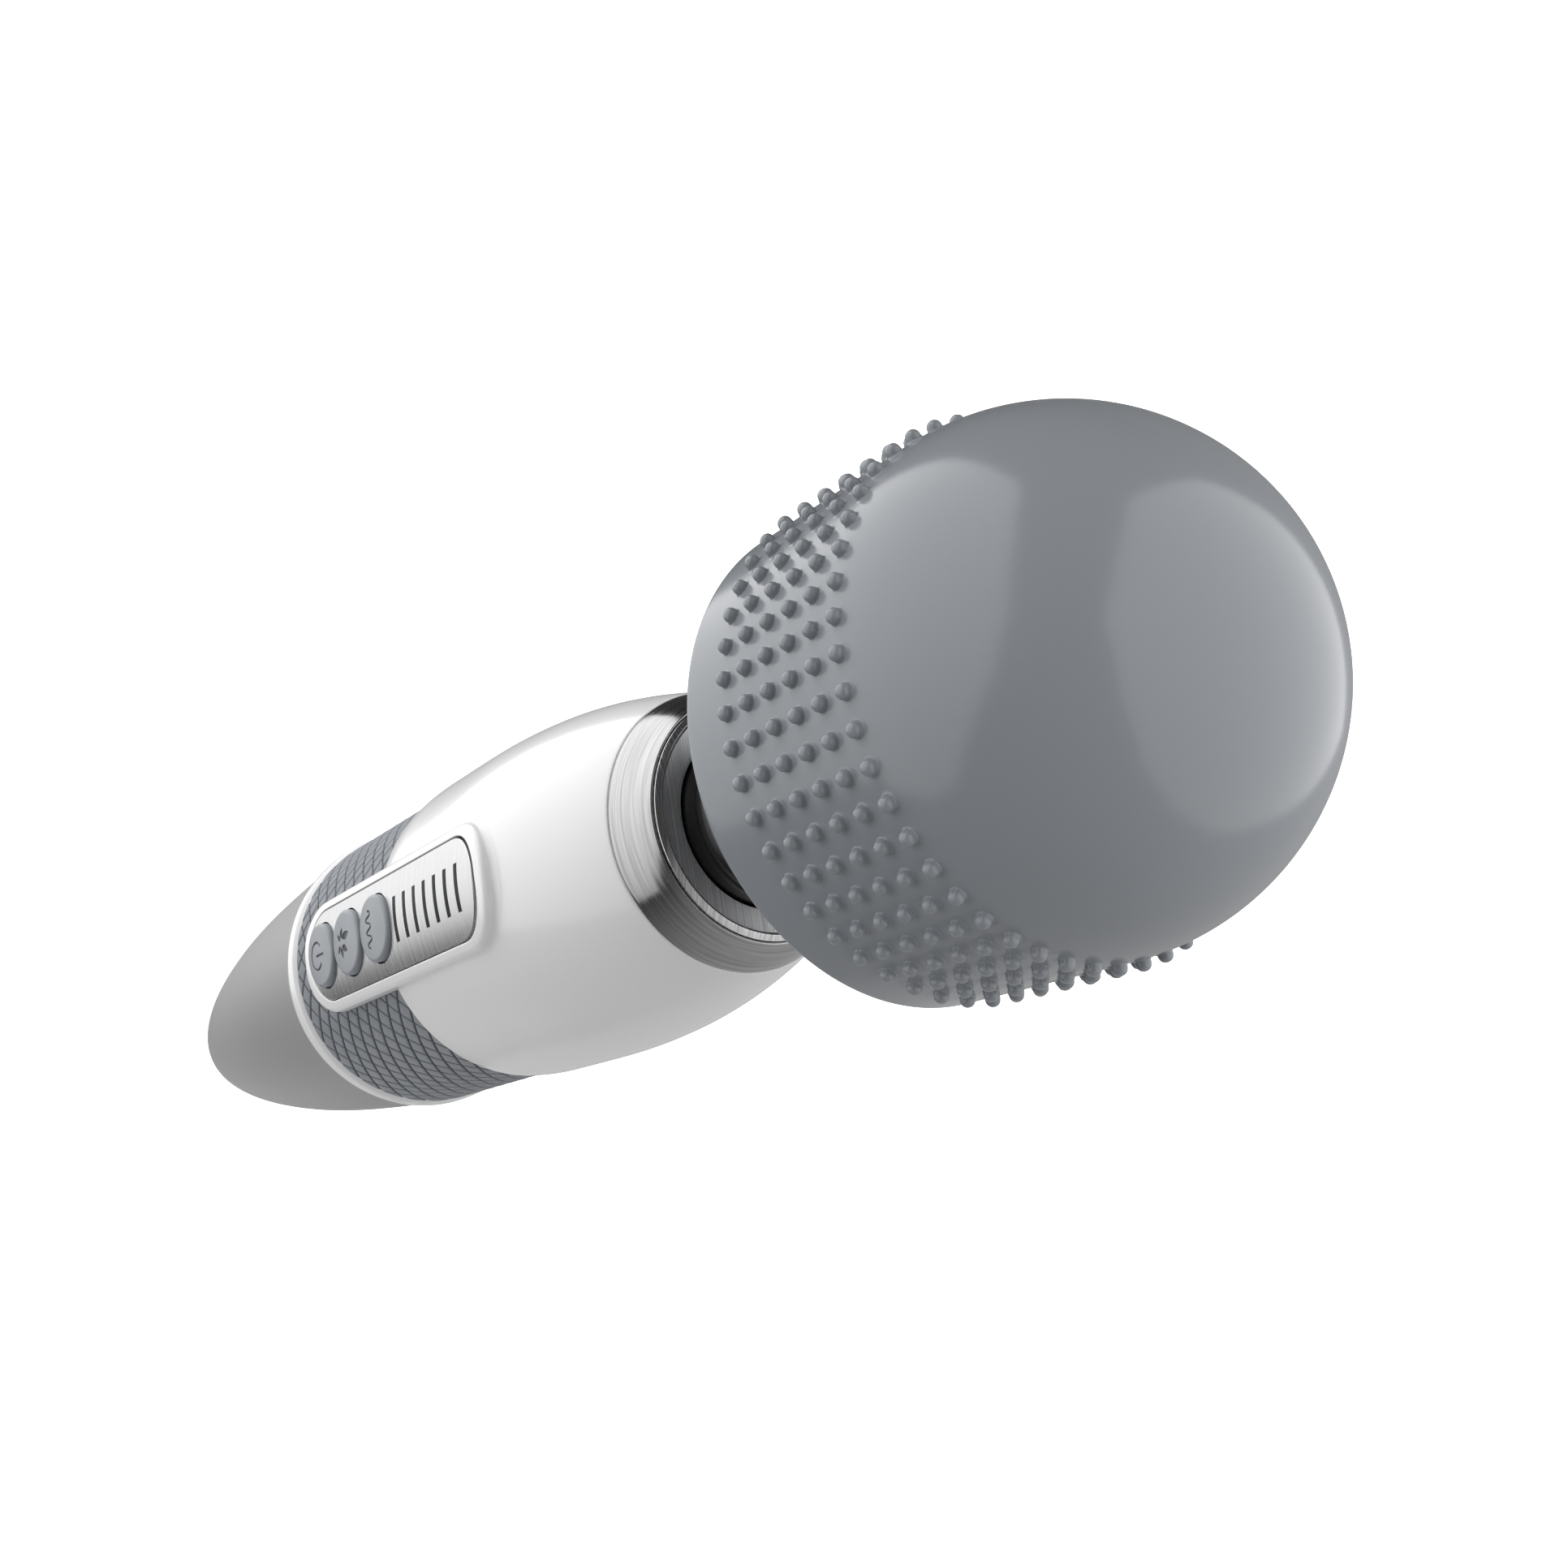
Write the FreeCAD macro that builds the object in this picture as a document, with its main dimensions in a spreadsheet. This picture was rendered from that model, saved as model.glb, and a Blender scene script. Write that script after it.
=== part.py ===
import FreeCAD, Part
import os, math
import Sketcher

# Cordless handheld wand massager, modelled lying on its side.
# +X runs along the wand from the tail (-X) to the massage head (+X), the
# control panel faces +Z, and the origin is under the middle of the wand at
# the lowest point of the head's nubs.  Lengths along the wand are kept as
# stations: millimetres from the tail end.

os.makedirs("parts", exist_ok=True)
doc = FreeCAD.newDocument("wand_massager")
V = FreeCAD.Vector

# ----------------------------------------------------------------- sheet
DIMS = [
    ("total_length", 290.5), ("tail_x", -145.25), ("axis_height", 31.69),
    # massage head
    ("head_radius", 30.47), ("dome_centre", 260.40), ("dome_length", 30.10),
    ("head_straight_start", 234.0), ("cover_wall", 2.0), ("shell_wall", 2.0),
    ("skin_gap", 0.05), ("head_split", 249.25), ("head_mouth_radius", 13.0),
    ("nub_radius", 0.95), ("nub_root", 29.6), ("nub_centre", 30.8),
    ("nub_first", 241.80), ("nub_pitch", 3.825), ("nub_rows", 6), ("nub_count", 50),
    # head fasteners and motor
    ("boss_circle", 23.4), ("boss_radius", 3.3), ("screw_radius", 1.25),
    ("motor_radius", 14.0), ("motor_start", 230.25), ("motor_length", 31.0),
    ("shaft_radius", 1.5), ("bush_bore", 1.53), ("rotor_radius", 9.5),
    ("weight_radius", 13.0), ("weight_length", 12.0), ("weight_start", 265.25),
    # flexible neck
    ("neck_radius", 12.0), ("knuckle_radius", 11.7), ("pivot_pitch", 209.45),
    ("pivot_yaw", 215.05), ("rim_step", 5.0), ("wire_bore", 2.6),
    ("pin_radius", 1.0), ("pin_length", 8.0),
    # collar
    ("collar_back", 198.55), ("collar_front", 204.91), ("collar_back_radius", 19.84),
    ("collar_front_radius", 17.2), ("collar_bore", 16.9), ("chamfer_outer", 16.3),
    ("chamfer_inner", 16.0), ("dish_radius", 14.85), ("face_front", 205.87), ("face_bore", 12.4),
    # handle
    ("body_radius", 24.8), ("body_wall", 2.4), ("body_arc_end", 156.55),
    ("body_arc_long", 49.6), ("body_arc_high", 10.45),
    ("grip_front", 137.05), ("grip_rear", 99.85), ("grip_seat", 23.3),
    ("spigot_radius", 22.6), ("spigot_bore", 21.4), ("spigot_end", 89.25),
    ("ring_rear", 96.05), ("ring_radius", 25.26), ("tail_front", 95.95),
    ("tail_front_radius", 24.65), ("tail_wall", 2.0), ("tail_flat", 4.0),
    # control panel, stations again, widths across the wand
    ("panel_top", 26.66), ("bezel_rear", 108.40), ("bezel_front", 175.35),
    ("bezel_half", 9.35), ("plate_rear", 111.20), ("plate_front", 172.85),
    ("plate_half", 7.55), ("plate_under", 25.75), ("button_rear", 116.80),
    ("button_pitch", 11.0), ("button_half_long", 5.20), ("button_half_wide", 5.27),
    ("button_top", 27.45), ("button_foot", 23.2), ("button_flange_top", 24.2),
    ("slot_first", 145.82), ("slot_pitch", 3.56), ("slot_wide", 0.65), ("slot_half", 3.43),
    # electronics
    ("board_under", 18.0), ("board_thick", 1.6), ("cell_radius", 9.15),
    ("cell_length", 65.0), ("cell_rear", 88.25), ("cell_side", 9.35), ("cell_drop", 5.0),
    ("jack_radius", 3.0), ("jack_bore", 1.3), ("jack_depth", 9.0), ("jack_end", 15.25),
]
sheet = doc.addObject("Spreadsheet::Sheet", "dims")
for row, (name, value) in enumerate(DIMS, start=1):
    sheet.set("A%d" % row, name)
    sheet.set("B%d" % row, str(value))
    sheet.setAlias("B%d" % row, name)
doc.recompute()


def g(name):
    return float(sheet.get(name))


NAMES = sorted([n for n, _ in DIMS], key=len, reverse=True)


def sub(text):
    """put the sheet's name in front of each of its aliases"""
    out, word = "", ""
    for ch in text + " ":
        if ch.isalnum() or ch == "_" or ch == ".":
            word += ch
        else:
            out += ("dims." + word) if word in NAMES else word
            word = ""
            out += ch
    return out.strip()


TAIL = g("tail_x")
AXIS = g("axis_height")
nodes = []


def on_axis(obj):
    """stand a wand-axis object on the shared frame"""
    obj.setExpression("Placement.Base.x", "dims.tail_x")
    obj.setExpression("Placement.Base.z", "dims.axis_height")


def plane(body, role):
    for f in body.Origin.OriginFeatures:
        if f.Role == role:
            return f


def number(text):
    """value of a simple sum of sheet names and numbers, read from the sheet"""
    total, sign = 0.0, 1.0
    for tok in text.replace("-", " - ").replace("+", " + ").split():
        if tok == "+":
            sign = 1.0
        elif tok == "-":
            sign = -1.0
        else:
            total += sign * (g(tok) if tok in NAMES else float(tok))
            sign = 1.0
    return total


def turned(label, *loops):
    """PartDesign body: closed profiles (station, radius) turned about the wand axis.
    A vertex may carry a third entry, the radius cell of an arc to the next vertex,
    and a fourth, the arc's middle point."""
    body = doc.addObject("PartDesign::Body", label)
    body.Label = label
    sk = body.newObject("Sketcher::SketchObject", label + "_profile")
    sk.AttachmentSupport = [(plane(body, "XY_Plane"), "")]
    sk.MapMode = "FlatFace"
    for loop in loops:
        pts = [V(number(p[0]), number(p[1]), 0) for p in loop]
        first = sk.GeometryCount
        n = len(pts)
        for k in range(n):
            a, b = pts[k], pts[(k + 1) % n]
            if len(loop[k]) > 2:
                mid = V(loop[k][3][0], loop[k][3][1], 0)
                sk.addGeometry(Part.Arc(a, mid, b), False)
            else:
                sk.addGeometry(Part.LineSegment(a, b), False)
        starts = []
        for k in range(n):
            gk = sk.Geometry[first + k]
            same = (gk.StartPoint - pts[k]).Length < 1e-6
            starts.append(1 if same else 2)
        for k in range(n):
            kn = (k + 1) % n
            sk.addConstraint(Sketcher.Constraint("Coincident", first + k, 3 - starts[k], first + kn, starts[kn]))
        for k in range(n):
            xe, re = loop[k][0], loop[k][1]
            c = sk.addConstraint(Sketcher.Constraint("DistanceX", -1, 1, first + k, starts[k], pts[k].x))
            sk.setExpression("Constraints[%d]" % c, sub(xe))
            if abs(pts[k].y) < 1e-9:
                sk.addConstraint(Sketcher.Constraint("PointOnObject", first + k, starts[k], -1))
            else:
                c = sk.addConstraint(Sketcher.Constraint("DistanceY", -1, 1, first + k, starts[k], pts[k].y))
                sk.setExpression("Constraints[%d]" % c, sub(re))
            if len(loop[k]) > 2:
                c = sk.addConstraint(Sketcher.Constraint("Radius", first + k, number(loop[k][2])))
                sk.setExpression("Constraints[%d]" % c, sub(loop[k][2]))
    rev = body.newObject("PartDesign::Revolution", label + "_turned")
    rev.Profile = sk
    rev.ReferenceAxis = (sk, ["H_Axis"])
    rev.Angle = 360.0
    on_axis(body)
    return body


def rod(name, radius, length, x, y=0.0, z=0.0):
    """cylinder along the wand; x is a station, y and z are off the wand axis"""
    o = doc.addObject("Part::Cylinder", name)
    o.setExpression("Radius", sub(radius))
    o.setExpression("Height", sub(length))
    o.Placement = FreeCAD.Placement(V(number(x) + TAIL, y, AXIS + z), FreeCAD.Rotation(V(0, 1, 0), 90))
    o.setExpression("Placement.Base.x", sub(x) + " + dims.tail_x")
    return o


def post(name, radius, length, x, y, z):
    """cylinder along Z"""
    o = doc.addObject("Part::Cylinder", name)
    o.setExpression("Radius", sub(radius))
    o.setExpression("Height", sub(length))
    o.Placement = FreeCAD.Placement(V(number(x) + TAIL, y, AXIS + number(z)), FreeCAD.Rotation())
    o.setExpression("Placement.Base.x", sub(x) + " + dims.tail_x")
    o.setExpression("Placement.Base.z", sub(z) + " + dims.axis_height")
    return o


def block(name, x0, x1, y0, y1, z0, z1):
    """box between stations x0..x1, y0..y1 and heights z0..z1 off the wand axis"""
    o = doc.addObject("Part::Box", name)
    o.setExpression("Length", sub("(%s) - (%s)" % (x1, x0)))
    o.Width = y1 - y0
    o.setExpression("Height", sub("(%s) - (%s)" % (z1, z0)))
    o.Placement = FreeCAD.Placement(V(number(x0) + TAIL, y0, AXIS + number(z0)), FreeCAD.Rotation())
    o.setExpression("Placement.Base.x", sub(x0) + " + dims.tail_x")
    o.setExpression("Placement.Base.z", sub(z0) + " + dims.axis_height")
    return o


def fuse(name, parts):
    o = doc.addObject("Part::MultiFuse", name)
    o.Shapes = parts
    return o


def common(name, parts):
    o = doc.addObject("Part::MultiCommon", name)
    o.Shapes = parts
    return o


def cut(name, base, tools):
    tool = tools[0] if len(tools) == 1 else fuse(name + "_tools", tools)
    o = doc.addObject("Part::Cut", name)
    o.Base = base
    o.Tool = tool
    return o


def group(name, parts):
    """identical separate solids in one node"""
    o = doc.addObject("Part::Compound", name)
    o.Links = parts
    return o


def keep(obj, label=None):
    if label:
        obj.Label = label
    nodes.append(obj)
    return obj


def plain(name, shape):
    """feature whose shape is made here from the sheet's numbers"""
    o = doc.addObject("Part::Feature", name)
    o.Shape = shape
    o.Label = name
    o.Placement = FreeCAD.Placement(V(TAIL, 0, AXIS), FreeCAD.Rotation())
    return o


# ------------------------------------------------ curved profiles of the shells
HR = g("head_radius")
DC = g("dome_centre")
DL = g("dome_length")
# back of the head: station, radius, from the mouth up a nearly straight cone to the rim of the straight part
SHOULDER = [(218.24, 13.0), (218.33, 14.3), (218.71, 16.7), (219.35, 18.6), (220.2, 19.9), (221.3, 20.96),
            (222.6, 21.98), (225.0, 23.77), (228.0, 26.0), (231.0, 28.24), (g("head_straight_start"), HR)]
# tail cap, station, radius, from the flat round the charging port up to the trim ring
TAILC = [(0.0, g("tail_flat")), (0.14, 4.62), (0.5, 5.35), (1.7, 7.1), (4.6, 9.35), (9.3, 11.45), (17.0, 13.9), (24.8, 15.9),
         (40.3, 18.98), (55.8, 21.3), (71.3, 22.93), (86.8, 24.1), (95.95, g("tail_front_radius"))]


def offset_pts(pts, d):
    """points moved d towards the wand axis along the profile's normal"""
    out = []
    n = len(pts)
    for k, (x, r) in enumerate(pts):
        xa, ra = pts[max(k - 1, 0)]
        xb, rb = pts[min(k + 1, n - 1)]
        tx, tr = xb - xa, rb - ra
        ln = math.hypot(tx, tr)
        out.append((x + d * tr / ln, r - d * tx / ln))
    return out


def spline(pts, t0=None, t1=None):
    c = Part.BSplineCurve()
    kw = {}
    if t0:
        c.interpolate([V(x, r, 0) for x, r in pts], InitialTangent=V(*t0), FinalTangent=V(*t1))
    else:
        c.interpolate([V(x, r, 0) for x, r in pts])
    return c.toShape()


def seg(a, b):
    return Part.LineSegment(V(a[0], a[1], 0), V(b[0], b[1], 0)).toShape()


def ellipse_arc(cx, cr, a, b, x0, x1):
    """arc of an ellipse with its long half-axis a along the wand, from x0 to x1, upper side"""
    if a >= b:
        e = Part.Ellipse(V(cx, cr, 0), a, b)
        t = lambda x: math.acos(max(-1, min(1, (x - cx) / a)))
        lo, hi = sorted((t(x0), t(x1)))
    else:
        # long axis across the wand: parameters start from the +r direction
        e = Part.Ellipse(V(cx, cr + b, 0), V(cx - a, cr, 0), V(cx, cr, 0))
        t = lambda x: -math.asin(max(-1, min(1, (x - cx) / a)))
        lo, hi = sorted((t(x0), t(x1)))
    return Part.ArcOfEllipse(e, lo, hi).toShape()


def turn(edges):
    w = Part.Wire(Part.__sortEdges__(edges))
    f = Part.Face(w)
    s = f.revolve(V(0, 0, 0), V(1, 0, 0), 360)
    if s.ShapeType != "Solid":
        s = Part.Solid(s) if s.ShapeType == "Shell" else s.Solids[0]
    if s.Volume < 0:
        s.reverse()
    return s


def head_solid(d):
    """the head's outer form moved in by d, as a solid of revolution"""
    sh = offset_pts(SHOULDER, d) if d else list(SHOULDER)
    sh[-1] = (SHOULDER[-1][0] + 0.331 * d, HR - d)
    sh[0] = (SHOULDER[0][0] + d, sh[0][1] if d == 0 else SHOULDER[0][1] - 0.0)
    e = [spline(sh, (0.02, 1, 0), (0.802, 0.597, 0)),
         seg(sh[-1], (DC, HR - d)),
         spline([(DC + (DL - d) * math.sin(math.radians(7.5 * k)), (HR - d) * math.cos(math.radians(7.5 * k)))
                 for k in range(12)] + [(DC + DL - d, 0.0)], (1, 0, 0), (0, -1, 0)),
         seg((DC + DL - d, 0), (sh[0][0], 0)),
         seg((sh[0][0], 0), sh[0])]
    return turn(e)


def tail_shell():
    """tail cap turned from one profile: outer curve, open front with its spigot seat, inner curve, port hole"""
    w = g("tail_wall")
    seat_r, seat_x = g("spigot_radius") + 0.1, g("spigot_end") - 0.2
    hole = g("jack_radius") + 0.05
    inner_pts = [(w, hole)] + offset_pts(TAILC, w)[3:-1]
    inner_pts[-1] = (seat_x, inner_pts[-1][1] + 0.1)
    end = TAILC[-1]
    e = [spline(TAILC), seg(end, (end[0], seat_r)), seg((end[0], seat_r), (seat_x, seat_r)),
         seg((seat_x, seat_r), inner_pts[-1]), spline(inner_pts), seg(inner_pts[0], (0.0, hole)),
         seg((0.0, hole), TAILC[0])]
    return turn(e)


BR = g("body_radius")
AE = g("body_arc_end")
AL = g("body_arc_long")
AH = g("body_arc_high")


def body_solid(d, x_front, x_rear):
    """the white body's outer form moved in by d, from its rear to its front station"""
    c = (AE, BR - AH)
    yf = c[1] + (AH - d) * math.sqrt(max(0.0, 1 - ((x_front - AE) / (AL - d)) ** 2))
    e = [ellipse_arc(c[0], c[1], AL - d, AH - d, AE, x_front),
         seg((x_rear, BR - d), (AE, BR - d)), seg((x_rear, BR - d), (x_rear, 0)),
         seg((x_rear, 0), (x_front, 0)), seg((x_front, 0), (x_front, yf))]
    return turn(e)


# outer form of the white body: it swells in front of the grip and draws in to the collar
BODYC = [(137.35, 25.27), (140.0, 25.52), (144.0, 25.64), (150.0, 25.70), (156.0, 25.74), (160.0, 25.73),
         (164.0, 25.64), (168.0, 25.45), (172.0, 25.16), (176.0, 24.77), (180.0, 24.24), (184.0, 23.58),
         (188.0, 22.78), (192.0, 21.84), (196.0, 20.74), (198.50, 19.95)]


def body_form(up):
    """the white body's outer form raised by up, chamfered at its rear edge"""
    pts = [(x, r + up) for x, r in BODYC]
    x0 = g("grip_front") - up
    foot, end = (x0, 24.97 + up), BODYC[-1][0]
    return turn([spline(pts), seg(foot, pts[0]), seg((x0, 0), foot), seg((x0, 0), (end, 0)), seg((end, 0), pts[-1])])


def cylx(r, x0, x1, y=0.0, z=0.0):
    return Part.makeCylinder(r, x1 - x0, V(x0, y, z), V(1, 0, 0))


def rounded_prism(x0, x1, half, rr, rf, z0, z1):
    """upright prism: plan rectangle x0..x1 by 2*half, corner radius rr at x0 and rf at x1"""
    pts = []

    def arc(cx, cy, r, a0, a1):
        return Part.Arc(V(cx + r * math.cos(a0), cy + r * math.sin(a0), 0),
                        V(cx + r * math.cos((a0 + a1) / 2), cy + r * math.sin((a0 + a1) / 2), 0),
                        V(cx + r * math.cos(a1), cy + r * math.sin(a1), 0)).toShape()
    p = math.pi
    es = [arc(x1 - rf, half - rf, rf, 0, p / 2), seg((x1 - rf, half), (x0 + rr, half)),
          arc(x0 + rr, half - rr, rr, p / 2, p), seg((x0, half - rr), (x0, -half + rr)),
          arc(x0 + rr, -half + rr, rr, p, 1.5 * p), seg((x0 + rr, -half), (x1 - rf, -half)),
          arc(x1 - rf, -half + rf, rf, 1.5 * p, 2 * p), seg((x1, -half + rf), (x1, half - rf))]
    f = Part.Face(Part.Wire(Part.__sortEdges__(es)))
    f.translate(V(0, 0, z0))
    return f.extrude(V(0, 0, z1 - z0))


# ------------------------------------------------------------------ massage head
outer = head_solid(0.0)
inner = head_solid(g("cover_wall"))
cover = outer.cut(inner)
cover = cover.cut(cylx(g("head_mouth_radius"), 210.0, 226.0))
nubs = []
for row in range(int(g("nub_rows"))):
    x = g("nub_first") + row * g("nub_pitch")
    for k in range(int(g("nub_count"))):
        a = math.radians(90 + (k + 0.5) * 360.0 / g("nub_count"))
        u = V(0, math.cos(a), math.sin(a))
        c = Part.makeCylinder(g("nub_radius"), g("nub_centre") - g("nub_root"), V(x, 0, 0) + u * g("nub_root"), u)
        s = Part.makeSphere(g("nub_radius"), V(x, 0, 0) + u * g("nub_centre"), u, 0, 90, 360)
        nubs.append(c.fuse(s).removeSplitter())
cover = cover.fuse(nubs)
keep(plain("head_cover", cover))

sh_out = head_solid(g("cover_wall") + g("skin_gap"))
sh_in = head_solid(g("cover_wall") + g("skin_gap") + g("shell_wall"))
shell = sh_out.cut(sh_in)
split = g("head_split")
BC, BRAD = g("boss_circle"), g("boss_radius")
boss_front, boss_rear, drill_rear, drill_front = [], [], [], []
for k in range(3):
    a = math.radians(90 + 120 * k)
    y, z = BC * math.cos(a), BC * math.sin(a)
    boss_rear.append(cylx(BRAD, 222.0, split, y, z).common(sh_out))
    boss_front.append(cylx(BRAD, split, 258.25, y, z).common(sh_out))
    drill_rear.append(cylx(1.45, 210.0, split + 1, y, z))
    drill_rear.append(cylx(2.75, 210.0, 233.25, y, z))
    drill_front.append(cylx(1.3, split - 1, 256.25, y, z))
rear = shell.cut(cylx(60, split, 320)).fuse(boss_rear)
rear = rear.cut(drill_rear + [cylx(g("neck_radius") + 0.1, 200, 226)])
front = shell.cut(cylx(60, 180, split + 0.02)).fuse([b.cut(cylx(60, 180, split + 0.02)) for b in boss_front])
front = front.cut(drill_front)
keep(plain("head_shell_rear", rear))
keep(plain("head_shell_front", front))

screws = []
for k in range(3):
    a = math.radians(90 + 120 * k)
    y, z = BC * math.cos(a), BC * math.sin(a)
    head = rod("head_screw_cap_%d" % k, "2.5", "1.6", "231.6", y, z)
    shank = rod("head_screw_shank_%d" % k, "screw_radius", "22.3", "233.0", y, z)
    screws.append(fuse("head_screw_%d" % k, [head, shank]))
keep(group("head_screws", screws), "head_screws")


def holder(name, x0, x1):
    """disc that holds the motor can in the shells, notched for the screw bosses"""
    tools = [rod(name + "_bore", "motor_radius + 0.03", "6", x0 + " - 1")]
    for k in range(3):
        a = math.radians(90 + 120 * k)
        tools.append(rod(name + "_notch%d" % k, "boss_radius + 0.4", "6", x0 + " - 1",
                         BC * math.cos(a), BC * math.sin(a)))
        b = math.radians(30 + 120 * k)
        tools.append(rod(name + "_hole%d" % k, "3.2", "6", x0 + " - 1", 20 * math.cos(b), 20 * math.sin(b)))
    disc = rod(name + "_disc", "head_radius - cover_wall - shell_wall - skin_gap - 0.05", "%s - %s" % (x1, x0), x0)
    return cut(name, disc, tools)


keep(holder("motor_mount_rear", "238.25", "241.25"), "motor_mount_rear")
keep(holder("motor_mount_front", "253.25", "256.25"), "motor_mount_front")

# brushed motor: can, end cap, magnets, two bushes, and the turning parts
keep(turned("motor_can",
            [("motor_start + 2", "motor_radius"), ("motor_start + motor_length", "motor_radius"),
             ("motor_start + motor_length", "3.6"), ("motor_start + motor_length - 1.5", "3.6"),
             ("motor_start + motor_length - 1.5", "motor_radius - 1.5"), ("motor_start + 2", "motor_radius - 1.5")]))
keep(turned("motor_end_cap",
            [("motor_start", "motor_radius"), ("motor_start + 1.98", "motor_radius"),
             ("motor_start + 1.98", "3.6"), ("motor_start", "3.6")]))
keep(turned("motor_bushes",
            [("motor_start - 0.5", "3.55"), ("motor_start + 3", "3.55"), ("motor_start + 3", "bush_bore"),
             ("motor_start - 0.5", "bush_bore")],
            [("motor_start + motor_length - 2.5", "3.55"), ("motor_start + motor_length + 1", "3.55"),
             ("motor_start + motor_length + 1", "bush_bore"), ("motor_start + motor_length - 2.5", "bush_bore")]))
mags = []
for k, s in enumerate((1, -1)):
    ring = cut("magnet_ring_%d" % k, rod("magnet_out_%d" % k, "motor_radius - 1.55", "20", "motor_start + 5"),
               [rod("magnet_in_%d" % k, "motor_radius - 3.9", "22", "motor_start + 4")])
    half = block("magnet_half_%d" % k, "motor_start + 4", "motor_start + 26", -13.0 if s < 0 else 3.0,
                 -3.0 if s < 0 else 13.0, "-14", "14")
    mags.append(common("magnet_%d" % k, [ring, half]))
keep(group("motor_magnets", mags), "motor_magnets")
keep(turned("motor_shaft",
            [("motor_start - 0.2", "0"), ("motor_start - 0.2", "shaft_radius"),
             ("weight_start + weight_length + 1", "shaft_radius"), ("weight_start + weight_length + 1", "0")]))
core_parts = [rod("rotor_hub", "5.2", "17", "motor_start + 6.5")]
for k in range(3):
    ring = cut("pole_ring_%d" % k, rod("pole_out_%d" % k, "rotor_radius", "14", "motor_start + 8"),
               [rod("pole_in_%d" % k, "rotor_radius - 2", "16", "motor_start + 7")])
    a = 120.0 * k
    wedge = doc.addObject("Part::Cylinder", "pole_wedge_%d" % k)
    wedge.setExpression("Radius", sub("rotor_radius + 3"))
    wedge.Height = 20
    wedge.Angle = 96
    wedge.Placement = FreeCAD.Placement(V(g("motor_start") + 5 + TAIL, 0, AXIS),
                                        FreeCAD.Rotation(V(1, 0, 0), a - 48).multiply(FreeCAD.Rotation(V(0, 1, 0), 90)))
    shoe = common("pole_shoe_%d" % k, [ring, wedge])
    core_parts.append(shoe)
for k in range(3):
    web = doc.addObject("Part::Box", "pole_web_%d" % k)
    web.Length = 14
    web.Width = 3
    web.setExpression("Height", sub("rotor_radius - 1"))
    # the web points at the middle of its shoe
    ang = 120.0 * k - 48 + 48
    rot = FreeCAD.Rotation(V(1, 0, 0), ang).multiply(FreeCAD.Rotation())
    base = rot.multVec(V(0, -1.5, 0))
    web.Placement = FreeCAD.Placement(V(g("motor_start") + 8 + TAIL, base.y, AXIS + base.z), rot)
    core_parts.append(web)
core = fuse("rotor_core_solid", core_parts)
keep(cut("rotor_core", core, [rod("rotor_core_bore", "shaft_radius + 0.01", "30", "motor_start + 2")]), "rotor_core")
wt_disc = rod("weight_disc", "weight_radius", "weight_length", "weight_start")
wt_box = block("weight_side", "weight_start - 1", "weight_start + weight_length + 1", -20.0, 20.0, "-20", "-1.0")
wt_lobe = common("weight_lobe", [wt_disc, wt_box])
wt_hub = rod("weight_hub", "4.0", "weight_length", "weight_start")
wt = fuse("weight_solid", [wt_lobe, wt_hub])
keep(cut("eccentric_weight", wt, [rod("weight_bore", "shaft_radius + 0.01", "20", "weight_start - 3")]), "eccentric_weight")

# ------------------------------------------------------------------ flexible neck
def neck_cup(label, rim, cup_c, back, sign, flange0, flange1):
    """soft neck end with a round cup that follows the knuckle"""
    rim_x = number(rim)
    c = number(cup_c)
    rim_r = math.sqrt(g("neck_radius") ** 2 - (rim_x - c) ** 2)
    bot_x = c + sign * math.sqrt(g("neck_radius") ** 2 - g("wire_bore") ** 2)
    a0 = math.atan2(rim_r, rim_x - c)
    a1 = math.atan2(g("wire_bore"), bot_x - c)
    am = (a0 + a1) / 2
    R = g("neck_radius")
    e = [Part.Arc(V(rim_x, rim_r, 0), V(c + R * math.cos(am), R * math.sin(am), 0),
                  V(bot_x, g("wire_bore"), 0)).toShape()]
    b = number(back)
    path = [(bot_x, g("wire_bore")), (b, g("wire_bore")), (b, R), (number(flange1), R),
            (number(flange1), 15.2), (number(flange0), 15.2), (number(flange0), R), (rim_x, R), (rim_x, rim_r)]
    for p, q in zip(path[:-1], path[1:]):
        e.append(seg(p, q))
    return plain(label, turn(e))


keep(neck_cup("neck_root", "pivot_pitch - rim_step", "pivot_pitch", "193.25", -1, "195.95", "193.95"))
keep(neck_cup("neck_stem", "pivot_yaw + rim_step", "pivot_yaw", "229.25", 1, "223.1", "225.1"))
balls = []
for k, c in enumerate(("pivot_pitch", "pivot_yaw")):
    ball = doc.addObject("Part::Sphere", "knuckle_%d" % k)
    ball.setExpression("Radius", sub("knuckle_radius"))
    ball.Placement = FreeCAD.Placement(V(g(c) + TAIL, 0, AXIS), FreeCAD.Rotation(V(0, 1, 0), 90))
    ball.setExpression("Placement.Base.x", sub(c) + " + dims.tail_x")
    balls.append(ball)
link = fuse("neck_link_solid", balls + [rod("knuckle_waist", "knuckle_radius", "pivot_yaw - pivot_pitch", "pivot_pitch")])
cross, pins = [], []
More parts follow.
